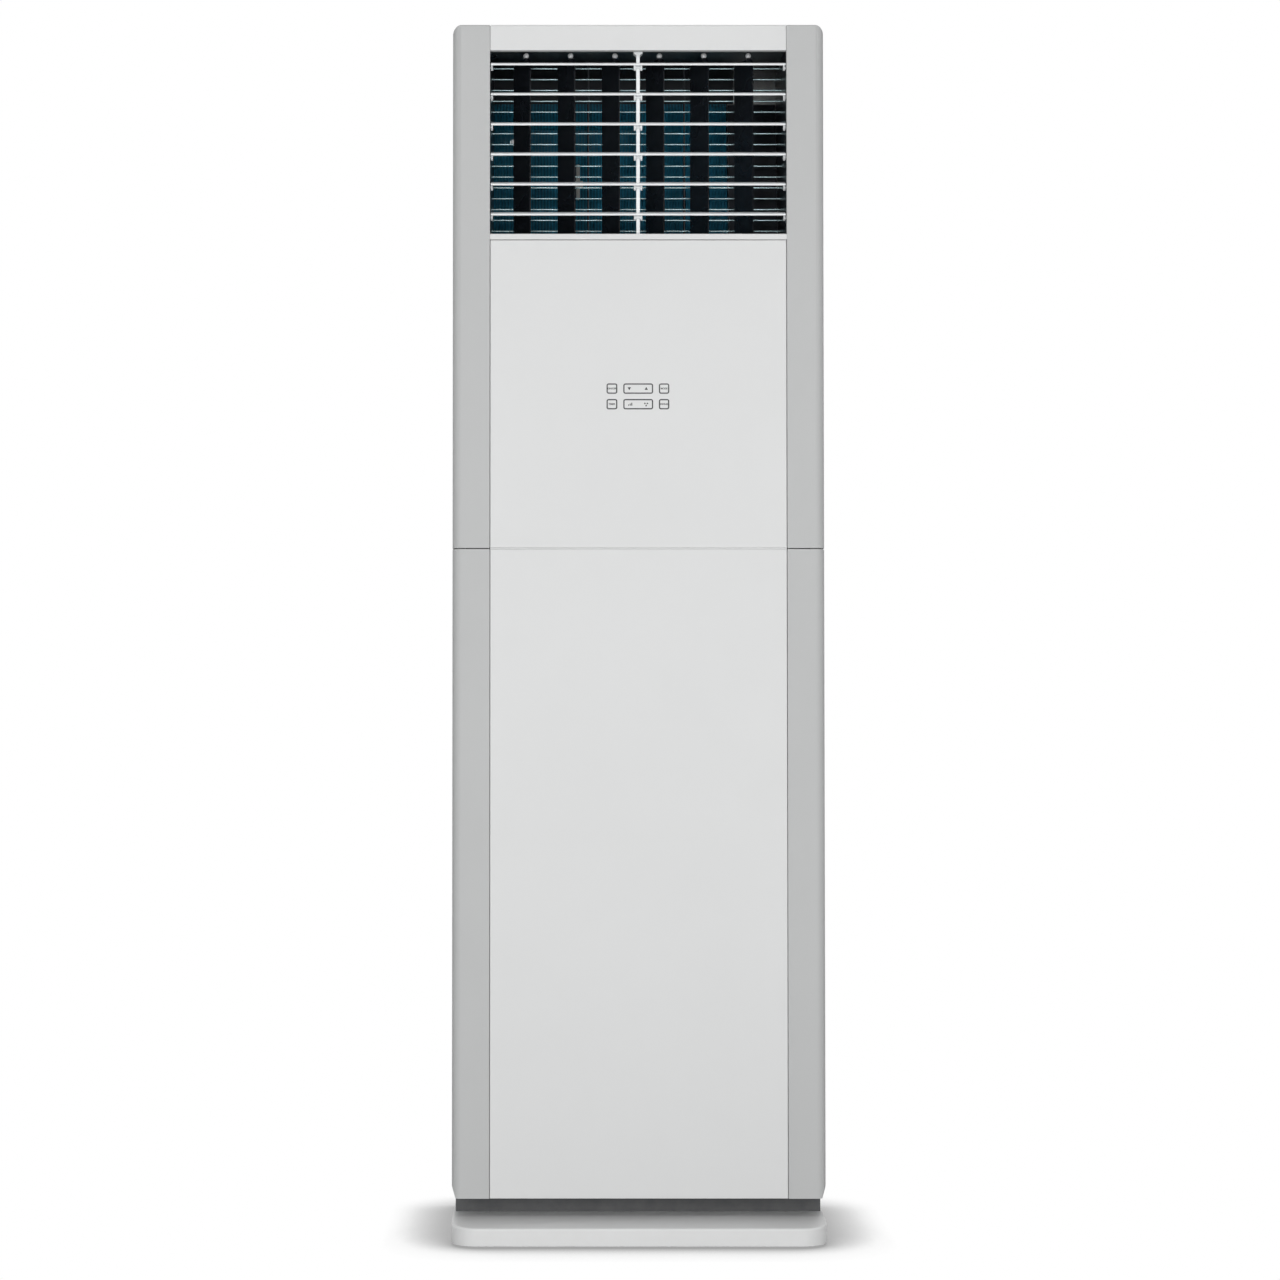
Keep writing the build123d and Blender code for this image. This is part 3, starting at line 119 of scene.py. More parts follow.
def put_on(piece, material, body):
    """Gives a piece its one finish and hangs it on its body."""
    piece.data.materials.clear()
    piece.data.materials.append(material)
    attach(piece, body)
    return piece


def opened(node):
    """A copy of the node's mesh, and the same as a bmesh with its doubled corners joined."""
    mesh = frame["nodes"][node].data.copy()
    shape = bmesh.new()
    shape.from_mesh(mesh)
    bmesh.ops.remove_doubles(shape, verts=shape.verts, dist=1e-6)
    return mesh, shape


def written_back(mesh, shape):
    """Puts the bmesh back in its mesh, with the triangles of each flat face made one."""
    bmesh.ops.dissolve_limit(shape, angle_limit=radians(0.4), verts=shape.verts, edges=shape.edges)
    shape.to_mesh(mesh)
    shape.free()
    return mesh


def smoothed(mesh, angle=None):
    """Shades the mesh smooth, with a sharp line where faces meet at more than the angle, if given."""
    mesh.polygons.foreach_set("use_smooth", [True] * len(mesh.polygons))
    if angle is not None:
        mesh.set_sharp_from_angle(angle=radians(angle))


def dressed(node, material, edge=0.0004, turns=2, smooth=30.0):
    """The node's own form with its edges broken and its round stretches shaded smooth."""
    mesh = written_back(*opened(node))
    smoothed(mesh, smooth)
    piece = bpy.data.objects.new(f"{node}_form", mesh)
    bpy.context.scene.collection.objects.link(piece)
    rounding = piece.modifiers.new("broken edges", "BEVEL")
    rounding.width, rounding.segments = edge, turns
    rounding.limit_method, rounding.angle_limit = "ANGLE", radians(38.0)
    rounding.use_clamp_overlap = True
    rounding.harden_normals = True
    put_on(piece, material, body_of_node[node])
    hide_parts(node)
    return piece


foot_rubber = finish("foot_rubber", (0.035, 0.035, 0.037), 0.85, grain=400.0, bump=0.3, dust=0.35)
dressed("foot_pads", foot_rubber, edge=0.0005)


# ---- Plinth ----
# One wide injection-moulded foot in pale grey satin plastic, open underneath with two cross ribs.
# Its top climbs to the dark neck, and shoes and mops leave a little dust along the floor.
plinth_plastic = finish("plinth_plastic", (0.740, 0.746, 0.746), 0.38, grain=1400.0, bump=0.05,
                        mottle=0.03, dust=0.10)
dressed("base_plinth", plinth_plastic, edge=0.0012, turns=3)


# ---- Neck ----
# A folded steel channel between plinth and cabinet, painted dark grey so that the body seems to
# float above the foot.  Screwed to both from inside.
neck_paint = finish("neck_paint", (0.070, 0.073, 0.077), 0.55, grain=1100.0, bump=0.10, dust=0.10)
dressed("base_frame", neck_paint, edge=0.0006)


# ---- Sides, back and lid ----
# Folded sheet steel, powder coated in the frame's grey outside; the back is bare galvanised sheet
# with slots for the filters, the pipe port, two holes for the wall anchors and a rubber cable gland.
side_paint = finish("side_paint", (0.480, 0.486, 0.488), 0.48, grain=1900.0, bump=0.12, mottle=0.03,
                    dust=0.05, shine=0.3)
for sheet_part in ("side_panel_left", "side_panel_right", "top_cover"):
    dressed(sheet_part, side_paint, edge=0.0004)


def galvanised(name, colour=(0.56, 0.575, 0.585), rough=0.42):
    """Zinc-coated sheet: large flat crystals, each a little lighter or darker and glossier."""
    material = finish(name, colour, rough, grain=500.0, bump=0.03, metallic=1.0)
    nodes, links = material.node_tree.nodes, material.node_tree.links
    shader = nodes["Principled BSDF"]
    crystals = nodes.new("ShaderNodeTexVoronoi")
    crystals.inputs["Scale"].default_value = 90.0
    links.new(nodes["Texture Coordinate"].outputs["Object"], crystals.inputs["Vector"])
    shade = nodes.new("ShaderNodeMapRange")
    shade.inputs["To Min"].default_value, shade.inputs["To Max"].default_value = 0.0, 1.0
    links.new(crystals.outputs["Color"], shade.inputs["Value"])
    tint = nodes.new("ShaderNodeMix")
    tint.data_type = "RGBA"
    tint.inputs[6].default_value = (*[channel * 0.90 for channel in colour], 1.0)
    tint.inputs[7].default_value = (*[min(1.0, channel * 1.08) for channel in colour], 1.0)
    links.new(shade.outputs["Result"], tint.inputs[0])
    links.new(tint.outputs[2], shader.inputs["Base Color"])
    gloss = nodes.new("ShaderNodeMapRange")
    gloss.inputs["To Min"].default_value, gloss.inputs["To Max"].default_value = rough * 0.8, rough * 1.2
    links.new(crystals.outputs["Color"], gloss.inputs["Value"])
    links.new(gloss.outputs["Result"], shader.inputs["Roughness"])
    return material


zinc_sheet = galvanised("zinc_sheet")
dressed("rear_panel", zinc_sheet, edge=0.0002, turns=1)
dressed("anchor_plate", zinc_sheet, edge=0.0003)

gland_rubber = finish("gland_rubber", (0.03, 0.03, 0.032), 0.75, grain=700.0, bump=0.2)
dressed("cable_gland", gland_rubber, edge=0.0004, turns=3, smooth=50.0)


# ---- Case screws ----
# Ten self-tapping screws with low domed heads and a round recess, zinc plated, down both edges of
# the rear panel.
def row_tree():
    """A row, or a row of rows, of one shape, ready to be frozen to a plain mesh."""
    tree = bpy.data.node_groups.new("Row of like pieces", "GeometryNodeTree")
    face = tree.interface
    kinds = (("Shape", "NodeSocketObject"), ("Count", "NodeSocketInt"), ("Start", "NodeSocketVector"),
             ("Step", "NodeSocketVector"), ("Rows", "NodeSocketInt"), ("Row Step", "NodeSocketVector"),
             ("Finish", "NodeSocketMaterial"))
    for name, kind in kinds:
        face.new_socket(name, in_out="INPUT", socket_type=kind)
    face.new_socket("Geometry", in_out="OUTPUT", socket_type="NodeSocketGeometry")
    nodes, links = tree.nodes, tree.links
    given = nodes.new("NodeGroupInput").outputs
    line = nodes.new("GeometryNodeMeshLine")
    rows = nodes.new("GeometryNodeMeshLine")
    shape = nodes.new("GeometryNodeObjectInfo")
    on_line = nodes.new("GeometryNodeInstanceOnPoints")
    on_rows = nodes.new("GeometryNodeInstanceOnPoints")
    real = nodes.new("GeometryNodeRealizeInstances")
    coated = nodes.new("GeometryNodeSetMaterial")
    result = nodes.new("NodeGroupOutput")
    for source, target in ((given["Count"], line.inputs["Count"]),
                           (given["Start"], line.inputs["Start Location"]),
                           (given["Step"], line.inputs["Offset"]),
                           (given["Rows"], rows.inputs["Count"]),
                           (given["Row Step"], rows.inputs["Offset"]),
                           (given["Shape"], shape.inputs["Object"]),
                           (line.outputs["Mesh"], on_line.inputs["Points"]),
                           (shape.outputs["Geometry"], on_line.inputs["Instance"]),
                           (rows.outputs["Mesh"], on_rows.inputs["Points"]),
                           (on_line.outputs["Instances"], on_rows.inputs["Instance"]),
                           (on_rows.outputs["Instances"], real.inputs["Geometry"]),
                           (real.outputs["Geometry"], coated.inputs["Geometry"]),
                           (given["Finish"], coated.inputs["Material"]),
                           (coated.outputs["Geometry"], result.inputs["Geometry"])):
        links.new(source, target)
    return tree


rows_of_pieces = row_tree()


def frozen(name, tree, values, smooth=30.0):
    """Runs a tree with its named inputs and keeps the result as a plain mesh."""
    holder = bpy.data.objects.new(name, bpy.data.meshes.new(name))
    bpy.context.scene.collection.objects.link(holder)
    maker = holder.modifiers.new("maker", "NODES")
    maker.node_group = tree
    names = {item.name: item.identifier for item in tree.interface.items_tree if item.in_out == "INPUT"}
    for key, value in values.items():
        maker[names[key]] = value
    bpy.context.view_layer.update()
    evaluated = holder.evaluated_get(bpy.context.evaluated_depsgraph_get())
    mesh = bpy.data.meshes.new_from_object(evaluated)
    holder.modifiers.remove(maker)
    holder.data = mesh
    smoothed(mesh, smooth)
    return holder


def row(name, shape, count, start, step, material, rows=1, row_step=(0, 0, 0), smooth=30.0):
    """Freezes a row of a shape and throws the single shape away."""
    piece = frozen(name, rows_of_pieces, {"Shape": shape, "Count": count, "Start": start, "Step": step,
                                          "Rows": rows, "Row Step": row_step, "Finish": material}, smooth)
    bpy.data.objects.remove(shape)
    return piece


def solid(name, shape):
    """An object from a bmesh, which is used up."""
    bmesh.ops.recalc_face_normals(shape, faces=shape.faces)
    mesh = bpy.data.meshes.new(name)
    shape.to_mesh(mesh)
    shape.free()
    piece = bpy.data.objects.new(name, mesh)
    bpy.context.scene.collection.objects.link(piece)
    return piece


def ring(shape, centre, across, other, radius, sides):
    """Adds one ring of corners round a centre, in the plane of two directions."""
    angles = [2 * pi * k / sides for k in range(sides)]
    return [shape.verts.new(centre + (across * cos(angle) + other * sin(angle)) * radius)
            for angle in angles]


def wall(shape, first, second):
    """Joins two rings of corners with four-sided faces."""
    for k in range(len(first)):
        after = (k + 1) % len(first)
        shape.faces.new((first[k], first[after], second[after], second[k]))


def lathe(shape, profile, centre, axis, sides=24, hollow=False):
    """Adds a turned form: (radius, place along the axis) pairs spun about a line through centre.
    A hollow one has its last pair joined to its first, and no flat ends."""
    axis = Vector(axis).normalized()
    across = axis.orthogonal().normalized()
    other = axis.cross(across)
    rings = [ring(shape, Vector(centre) + axis * along, across, other, radius, sides)
             for radius, along in profile]
    for first, second in zip(rings, rings[1:]):
        wall(shape, first, second)
    if hollow:
        wall(shape, rings[-1], rings[0])
    else:
        shape.faces.new(rings[0])
        shape.faces.new(rings[-1])


screw_zinc = finish("screw_zinc", (0.62, 0.62, 0.61), 0.32, grain=1500.0, bump=0.05, metallic=1.0)
screws_low, screws_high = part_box("case_screws")
screw_radius, screw_rows, screw_columns = 0.0042, 5, 2
screw_head = bmesh.new()
lathe(screw_head, [(0.0016, 0.0004), (0.0019, 0.0016), (0.0033, 0.0021), (0.0041, 0.0016),
                   (screw_radius, 0.0)], (0, 0, 0), (0, 1, 0), sides=12)
half_flats = screw_radius * cos(pi / 6)
screw_step = (screws_high.z - screws_low.z - 2 * half_flats) / (screw_rows - 1)
column_step = screws_high.x - screws_low.x - 2 * screw_radius
screws = row("case_screw_heads", solid("screw", screw_head), screw_rows,
             (screws_low.x + screw_radius, screws_low.y, screws_low.z + half_flats),
             (0, 0, screw_step), screw_zinc, screw_columns, (column_step, 0, 0))
put_on(screws, screw_zinc, "cabinet")
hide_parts("case_screws")


# ---- Deck, drain pan and air baffle ----
# The deck is pressed galvanised sheet; the drain pan is black polypropylene with its spout; the
# baffle is another sheet, folded at its head, that keeps the cold air off the electrics.
tray_plastic = finish("tray_plastic", (0.045, 0.046, 0.05), 0.6, grain=900.0, bump=0.15)
dressed("partition_deck", zinc_sheet, edge=0.0003)
dressed("air_baffle", zinc_sheet, edge=0.0003)
dressed("drain_pan", tray_plastic, edge=0.0006)


# ---- Heat exchanger ----
# Blue hydrophilic-coated aluminium fins on copper tubes, leaned back behind the outlet between
# galvanised end plates.  Return bends are brazed in at the left; dark foam lines the space behind,
# and a dark foam strip over the right end plate is painted shade.
coil_foot, coil_head = Vector((0, -0.050, 1.1370)), Vector((0, 0.118, 1.7950))
coil_along = (coil_head - coil_foot).normalized()
coil_across = Vector((0, coil_along.z, -coil_along.y))
coil_length, coil_half = (coil_head - coil_foot).length, 0.019
fins_low, fins_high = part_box("evaporator_fins")
fin_pitch, fin_thickness = 0.0024, 0.0009


def prism(shape, section, start, end):
    """Adds a solid carried in a straight line: section is a closed list of points at start."""
    rings = [[shape.verts.new(Vector(point) + Vector(shift)) for point in section] for shift in (start, end)]
    shape.faces.new(rings[0][::-1])
    shape.faces.new(rings[1])
    wall(shape, rings[0], rings[1])


def plate(shape, along0, along1, across0, across1, x0, x1):
    """Adds a flat plate in the coil's own leaned axes."""
    corners = [coil_foot + coil_along * a + coil_across * c for a, c in
               ((along0, across0), (along1, across0), (along1, across1), (along0, across1))]
    prism(shape, corners, (x0, 0, 0), (x1, 0, 0))


fin_blue = finish("fin_coating", (0.030, 0.400, 0.640), 0.45, grain=700.0, bump=0.05, mottle=0.45,
                  metallic=0.15)
fin_plate = bmesh.new()
plate(fin_plate, 0.0, coil_length, -coil_half, coil_half, 0.0, fin_thickness)
fin_count = int((fins_high.x - fins_low.x) / fin_pitch)
fins = row("evaporator_fin_stack", solid("fin", fin_plate), fin_count, (fins_low.x, 0, 0),
           (fin_pitch, 0, 0), fin_blue)
put_on(fins, fin_blue, "cabinet")
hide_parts("evaporator_fins")
dressed("evaporator_end_plates", zinc_sheet, edge=0.0003)

# Dark foam for the liner behind the coil; the same dark is painted shade on the strip over the right end
# plate.
foam_and_shade_black = finish("foam_and_shade_black", (0.020, 0.026, 0.036), 0.55, grain=260.0, bump=0.5, mottle=0.5)
rear_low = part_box("rear_panel")[0]
anchor_low, anchor_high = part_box("anchor_plate")
deck_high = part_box("partition_deck")[1]
lid_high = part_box("top_cover")[1]
liner_thickness, lid_sheet, liner_gap = 0.0055, 0.0015, 0.001
liner_left, liner_right = rear_low.x + 0.024, 0.165
liner_shape = bmesh.new()
for liner_foot, liner_top in ((deck_high.z + liner_gap, anchor_low.z - liner_gap),
                              (anchor_high.z + liner_gap, lid_high.z - lid_sheet)):
    liner_middle = ((liner_left + liner_right) / 2, rear_low.y - liner_thickness / 2,
                    (liner_foot + liner_top) / 2)
    liner_size = (liner_right - liner_left, liner_thickness, liner_top - liner_foot, 1.0)
    bmesh.ops.create_cube(liner_shape, size=1.0,
                          matrix=Matrix.Translation(liner_middle) @ Matrix.Diagonal(liner_size))
liner = solid("rear_liner", liner_shape)
put_on(liner, foam_and_shade_black, "cabinet")

# Dark foam strip over the right end plate's blank: painted shade, standing in for the shade that falls on the
# outlet's right side.
ends_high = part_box("evaporator_end_plates")[1]
shade_strip_shape = bmesh.new()
strip_thickness, strip_margin, strip_lift, strip_gap = 0.0025, 0.003, 0.0001, 0.0005
plate(shade_strip_shape, strip_margin, coil_length - strip_margin, -coil_half - strip_thickness, -coil_half - strip_lift,
      fins_high.x + strip_gap, ends_high.x - strip_gap)
shade_strip = solid("coil_side_seal", shade_strip_shape)
put_on(shade_strip, foam_and_shade_black, "cabinet")


def tube(shape, path, radius, sides=10):
    """Adds a round tube along a list of points, mitred at each of them."""
    rings = []
    side = None
    for k, point in enumerate(path):
        before = (point - path[k - 1]).normalized() if k else (path[1] - point).normalized()
        after = (path[k + 1] - point).normalized() if k + 1 < len(path) else before
        way = (before + after).normalized()
        side = way.orthogonal() if side is None else side
        side = (side - way * side.dot(way)).normalized()
        other = way.cross(side)
        rings.append(ring(shape, point, side, other, radius, sides))
    for first, second in zip(rings, rings[1:]):
        wall(shape, first, second)
    shape.faces.new(rings[0][::-1])
    shape.faces.new(rings[-1])


def round_bends(corners, radius, steps=8):
    """The same path with each inner corner turned into an arc of steps."""
    path = [corners[0]]
    for before, corner, after in zip(corners, corners[1:], corners[2:]):
        back, on = (before - corner).normalized(), (after - corner).normalized()
        half = back.angle(on) / 2
        reach = radius / tan(half)
        centre = corner + (back + on).normalized() * (radius / sin(half))
        start, end = corner + back * reach - centre, corner + on * reach - centre
        path += [centre + start.slerp(end, k / steps) * radius for k in range(steps + 1)]
    return path + [corners[-1]]


bend_copper = finish("bend_copper", (0.72, 0.36, 0.20), 0.30, grain=1200.0, bump=0.05, mottle=0.25,
                     metallic=1.0)
bends_low, bends_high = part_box("evaporator_bends")
bend_radius, bend_ease, tube_radius = 0.016, 0.98, 0.0048
bend_rows, bend_step = 9, 0.075
first_bend = (coil_length - (bend_rows - 1) * bend_step) / 2
bend_reach = bends_high.x - bends_low.x - tube_radius
bend_corners = [coil_foot + coil_along * (first_bend + side * bend_radius)
                + Vector((bends_high.x - near * bend_reach, 0, 0))
                for side, near in ((-1, 0), (-1, 1), (1, 1), (1, 0))]
bend_shape = bmesh.new()
tube(bend_shape, round_bends(bend_corners, bend_radius * bend_ease), tube_radius)
bends = row("return_bends", solid("bend", bend_shape), bend_rows, (0, 0, 0), coil_along * bend_step,
            bend_copper)
put_on(bends, bend_copper, "cabinet")
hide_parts("evaporator_bends")

brass = finish("brass", (0.76, 0.58, 0.27), 0.30, grain=900.0, bump=0.05, metallic=1.0)
dressed("flare_nuts", brass, edge=0.0005)
sensor_sleeve = finish("sensor_sleeve", (0.62, 0.61, 0.57), 0.40, grain=900.0, bump=0.08, mottle=0.1)
dressed("coil_sensor", sensor_sleeve, edge=0.0005)


# ---- Refrigerant pipes ----
# Two drawn copper pipes, the gas pipe the thicker, bent down behind the coil to their capped
# flare nuts beside the pipe port.
pipe_copper = finish("pipe_copper", (0.70, 0.34, 0.19), 0.33, grain=600.0, bump=0.08, mottle=0.35,
                     metallic=1.0)
pipes_low, pipes_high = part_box("refrigerant_pipes")
gas_radius, liquid_radius, pipe_spacing, liquid_drop = 0.0080, 0.0048, 0.027, 0.060
up_the_coil, pipe_bend, pipe_slack = 0.6, 0.024, 0.97
pipe_z = coil_foot.z + up_the_coil * (coil_head.z - coil_foot.z)
pipe_y = coil_foot.y + up_the_coil * (coil_head.y - coil_foot.y)
rear_y = pipes_high.y - gas_radius
lean = coil_along.y / coil_along.z
pipe_shape = bmesh.new()
for pipe_radius, pipe_x, drop in ((gas_radius, pipes_high.x - gas_radius, 0.0),
                                  (liquid_radius, pipes_high.x - gas_radius - pipe_spacing, liquid_drop)):
    start = Vector((pipes_low.x, pipe_y - drop * lean, pipe_z - drop))
    corners = [start, Vector((pipe_x, start.y, start.z)), Vector((pipe_x, rear_y, start.z)),
               Vector((pipe_x, rear_y, pipes_low.z))]
    tube(pipe_shape, round_bends(corners, pipe_bend), pipe_radius * pipe_slack, sides=16)
pipes = solid("refrigerant_pipe_pair", pipe_shape)
smoothed(pipes.data)
put_on(pipes, pipe_copper, "cabinet")
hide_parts("refrigerant_pipes")


# ---- Blower ----
# A sirocco wheel of forward-curved blades runs in a galvanised scroll casing in two halves and is
# driven by a black motor on a pressed bracket.  The wheel is black glass-filled plastic.
for casing in ("scroll_front", "scroll_rear", "motor_bracket"):
    dressed(casing, zinc_sheet, edge=0.0004)
motor_black = finish("motor_black", (0.028, 0.028, 0.030), 0.45, grain=800.0, bump=0.2, metallic=0.4)
dressed("fan_motor", motor_black, edge=0.0012, turns=3, smooth=25.0)
ground_steel = finish("ground_steel", (0.60, 0.60, 0.62), 0.24, grain=2500.0, bump=0.08, metallic=1.0)
dressed("blower_shaft", ground_steel, edge=0.0006)


def ring_tree():
    """One shape repeated round the Y axis, then moved to its place."""
    tree = bpy.data.node_groups.new("Ring of blades", "GeometryNodeTree")
    for name, kind in (("Shape", "NodeSocketObject"), ("Count", "NodeSocketInt"),
                       ("Centre", "NodeSocketVector"), ("Finish", "NodeSocketMaterial")):
        tree.interface.new_socket(name, in_out="INPUT", socket_type=kind)
    tree.interface.new_socket("Geometry", in_out="OUTPUT", socket_type="NodeSocketGeometry")
    nodes, links = tree.nodes, tree.links
    given = nodes.new("NodeGroupInput").outputs
    points = nodes.new("GeometryNodeMeshLine")
    shape = nodes.new("GeometryNodeObjectInfo")
    number = nodes.new("GeometryNodeInputIndex")
    share = nodes.new("ShaderNodeMath")
    share.operation = "DIVIDE"
    turn = nodes.new("ShaderNodeMath")
    turn.operation = "MULTIPLY"
    turn.inputs[1].default_value = 2 * pi
    angles = nodes.new("ShaderNodeCombineXYZ")
    placed = nodes.new("GeometryNodeInstanceOnPoints")
    real = nodes.new("GeometryNodeRealizeInstances")
    coated = nodes.new("GeometryNodeSetMaterial")
    result = nodes.new("NodeGroupOutput")
    points.inputs["Offset"].default_value = (0, 0, 0)
    for source, target in ((given["Count"], points.inputs["Count"]),
                           (given["Centre"], points.inputs["Start Location"]),
                           (given["Shape"], shape.inputs["Object"]),
                           (number.outputs["Index"], share.inputs[0]),
                           (given["Count"], share.inputs[1]),
                           (share.outputs["Value"], turn.inputs[0]),
                           (turn.outputs["Value"], angles.inputs["Y"]),
                           (points.outputs["Mesh"], placed.inputs["Points"]),
                           (shape.outputs["Geometry"], placed.inputs["Instance"]),
                           (angles.outputs["Vector"], placed.inputs["Rotation"]),
                           (placed.outputs["Instances"], real.inputs["Geometry"]),
                           (real.outputs["Geometry"], coated.inputs["Geometry"]),
                           (given["Finish"], coated.inputs["Material"]),
                           (coated.outputs["Geometry"], result.inputs["Geometry"])):
        links.new(source, target)
    return tree


wheel_plastic = finish("wheel_plastic", (0.032, 0.032, 0.034), 0.55, grain=700.0, bump=0.15)
wheel_low, wheel_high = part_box("blower_wheel")
wheel_centre = Vector(((wheel_low.x + wheel_high.x) / 2, wheel_low.y, (wheel_low.z + wheel_high.z) / 2))
wheel_radius, blade_depth, wheel_blades = 0.1685, 0.020, 42
wheel_width = wheel_high.y - wheel_low.y
blade_curl, blade_offset, blade_reach, blade_sheet, blade_inset = 0.0065, 0.001, 0.94, 0.0014, 0.001
blade_line = [(blade_curl * t * t + blade_offset, wheel_radius - blade_depth + blade_depth * blade_reach * t)
              for t in (k / 6 for k in range(7))]
blade_section = ([(x, 0, z) for x, z in blade_line]
                 + [(x + blade_sheet, 0, z) for x, z in reversed(blade_line)])
blade_shape = bmesh.new()
prism(blade_shape, blade_section, (0, blade_inset, 0), (0, wheel_width - blade_inset, 0))
blade = solid("blade", blade_shape)
wheel = frozen("wheel_blades", ring_tree(), {"Shape": blade, "Count": wheel_blades,
                                             "Centre": wheel_centre, "Finish": wheel_plastic})
bpy.data.objects.remove(blade)
put_on(wheel, wheel_plastic, "blower")

bore_radius, hub_length, rim_width, rim_bead = 0.006, 0.040, 0.003, 0.0008
rim_start, rim_inside = wheel_width - rim_width, wheel_radius - blade_depth
disc_profile = [(bore_radius, hub_length), (0.0150, hub_length), (0.0160, 0.038), (0.0170, 0.006),
                (0.030, 0.0026), (0.140, 0.0022), (wheel_radius, 0.0018), (wheel_radius, 0.0),
                (bore_radius, 0.0)]
rim_profile = [(rim_inside, rim_start), (wheel_radius, rim_start),
               (wheel_radius + rim_bead, wheel_width - rim_width / 2), (wheel_radius, wheel_width),
               (rim_inside, wheel_width)]
rims = bmesh.new()
for profile in (disc_profile, rim_profile):
    lathe(rims, profile, wheel_centre, (0, 1, 0), sides=64, hollow=True)
wheel_rims = solid("wheel_disc_and_ring", rims)
smoothed(wheel_rims.data, 35)
put_on(wheel_rims, wheel_plastic, "blower")
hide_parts("blower_wheel")


# ---- Intakes and filters ----
# Slatted grilles snap into both side panels; behind each a filter, a stiff grey frame round a fine
# net, slides to the rear in black rails so that it can be pulled out and rinsed.
grille_plastic = finish("grille_plastic", (0.475, 0.480, 0.482), 0.45, grain=1300.0, bump=0.12, dust=0.08)
filter_grey = finish("filter_grey", (0.13, 0.15, 0.18), 0.6, grain=900.0, bump=0.15)
net_grey = finish("net_grey", (0.07, 0.08, 0.10), 0.7, grain=900.0, bump=0.1)
dressed("filter_rails", tray_plastic, edge=0.0003)
net_pitch, strand, border, net_step, net_sheet = 0.0040, 0.0005, 0.012, 0.0007, 0.001


def without_sheet(node, thickness):
    """The node's mesh without its loose part that is thinner than a stated size."""
    mesh, shape = opened(node)
    waiting = set(shape.verts)
    while waiting:
        part, edge_of_part = set(), [waiting.pop()]
        while edge_of_part:
            corner = edge_of_part.pop()
            part.add(corner)
            for line in corner.link_edges:
                other = line.other_vert(corner)
                if other in waiting:
                    waiting.discard(other)
                    edge_of_part.append(other)
        across = [corner.co.x for corner in part]
        if max(across) - min(across) < thickness:
            bmesh.ops.delete(shape, geom=list(part), context="VERTS")
    return written_back(mesh, shape)


def strand_shape(name, reach, axis):
    """One square strand of the net, from its middle."""
    shape = bmesh.new()
    across = [Vector((strand, 0, 0)), Vector((0, 0, strand) if axis == "Y" else (0, strand, 0))]
    way = Vector((0, reach, 0) if axis == "Y" else (0, 0, reach))
    section = [(across[0] * a + across[1] * b) / 2 - way / 2 for a, b in ((1, 1), (-1, 1), (-1, -1), (1, -1))]
    prism(shape, section, (0, 0, 0), way)
    return solid(name, shape)


for side, outward in (("left", -1), ("right", 1)):
    dressed(f"intake_grille_{side}", grille_plastic, edge=0.0004)
    filter_low, filter_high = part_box(f"filter_{side}")
    net_x = (filter_low.x if outward > 0 else filter_high.x) + outward * net_step
    net_low = Vector((net_x, filter_low.y + border, filter_low.z + border))
    net_high = Vector((net_x, filter_high.y - 2 * border, filter_high.z - border))
    stiff = bpy.data.objects.new(f"filter_{side}_frame", without_sheet(f"filter_{side}", net_sheet))
    bpy.context.scene.collection.objects.link(stiff)
    put_on(stiff, filter_grey, f"filter_{side}")
    middle = (net_low + net_high) / 2
    ups = int((net_high.y - net_low.y) / net_pitch)
    levels = int((net_high.z - net_low.z) / net_pitch)
    upright = strand_shape("upright", net_high.z - net_low.z, "Z")
    upright_strands = row(f"filter_{side}_uprights", upright, ups,
                          (net_x, net_low.y + net_pitch / 2, middle.z), (0, net_pitch, 0), net_grey)
    level = strand_shape("level", net_high.y - net_low.y, "Y")
    level_strands = row(f"filter_{side}_levels", level, levels,
                        (net_x, middle.y, net_low.z + net_pitch / 2), (0, 0, net_pitch), net_grey)
    for strands in (upright_strands, level_strands):
        put_on(strands, net_grey, f"filter_{side}")
    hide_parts(f"filter_{side}")


# ---- Electrics ----
# A galvanised box on the baffle holds the green control board, the motor capacitor and the cable
# terminals; the touch board is clipped behind the upper panel.
for steel_case in ("electric_box", "electric_box_cover"):
    dressed(steel_case, zinc_sheet, edge=0.0004)
board_lacquer = finish("board_lacquer", (0.020, 0.145, 0.070), 0.35, grain=500.0, bump=0.15, mottle=0.2)
for board in ("main_board", "touch_board"):
    dressed(board, board_lacquer, edge=0.0003)
capacitor_case = finish("capacitor_case", (0.60, 0.61, 0.62), 0.40, grain=900.0, bump=0.08, metallic=0.6)
dressed("run_capacitor", capacitor_case, edge=0.0010, turns=3)
terminal_plastic = finish("terminal_plastic", (0.05, 0.05, 0.055), 0.5, grain=900.0, bump=0.15)
dressed("terminal_block", terminal_plastic, edge=0.0004)


# ---- Outlet duct ----
# Black foam-lined moulding behind the louvres, open at the back to the coil.  White collars under
# its ceiling carry the vanes' upper pins, and a white mullion stands in the middle of the outlet.
duct_black = finish("duct_black", (0.016, 0.019, 0.024), 0.30, grain=120.0, bump=0.30, mottle=0.3)
dressed("outlet_duct", duct_black, edge=0.0004)
white_plastic = finish("white_plastic", (0.88, 0.90, 0.91), 0.30, grain=1500.0, bump=0.04, mottle=0.02)
collar_plastic = finish("collar_plastic", (0.92, 0.93, 0.94), 0.14, grain=1500.0, bump=0.03, mottle=0.02,
                        coat=1.0)
bush_low, bush_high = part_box("vane_bushes")
bush_radius, bush_count = (bush_high.y - bush_low.y) / 2, 6
bush_step = (bush_high.x - bush_low.x - 2 * bush_radius) / (bush_count - 1)
bush_tall = bush_high.z - bush_low.z
ball_start, ball_span, ball_steps = 0.12, 0.76, 10
ball = [ball_start + ball_span * k / ball_steps for k in range(ball_steps + 1)]
bush_shape = bmesh.new()
lathe(bush_shape, [(bush_radius * sin(pi * share), bush_tall * (1 - cos(pi * share)) / 2) for share in ball],
      (0, 0, 0), (0, 0, 1), sides=24)
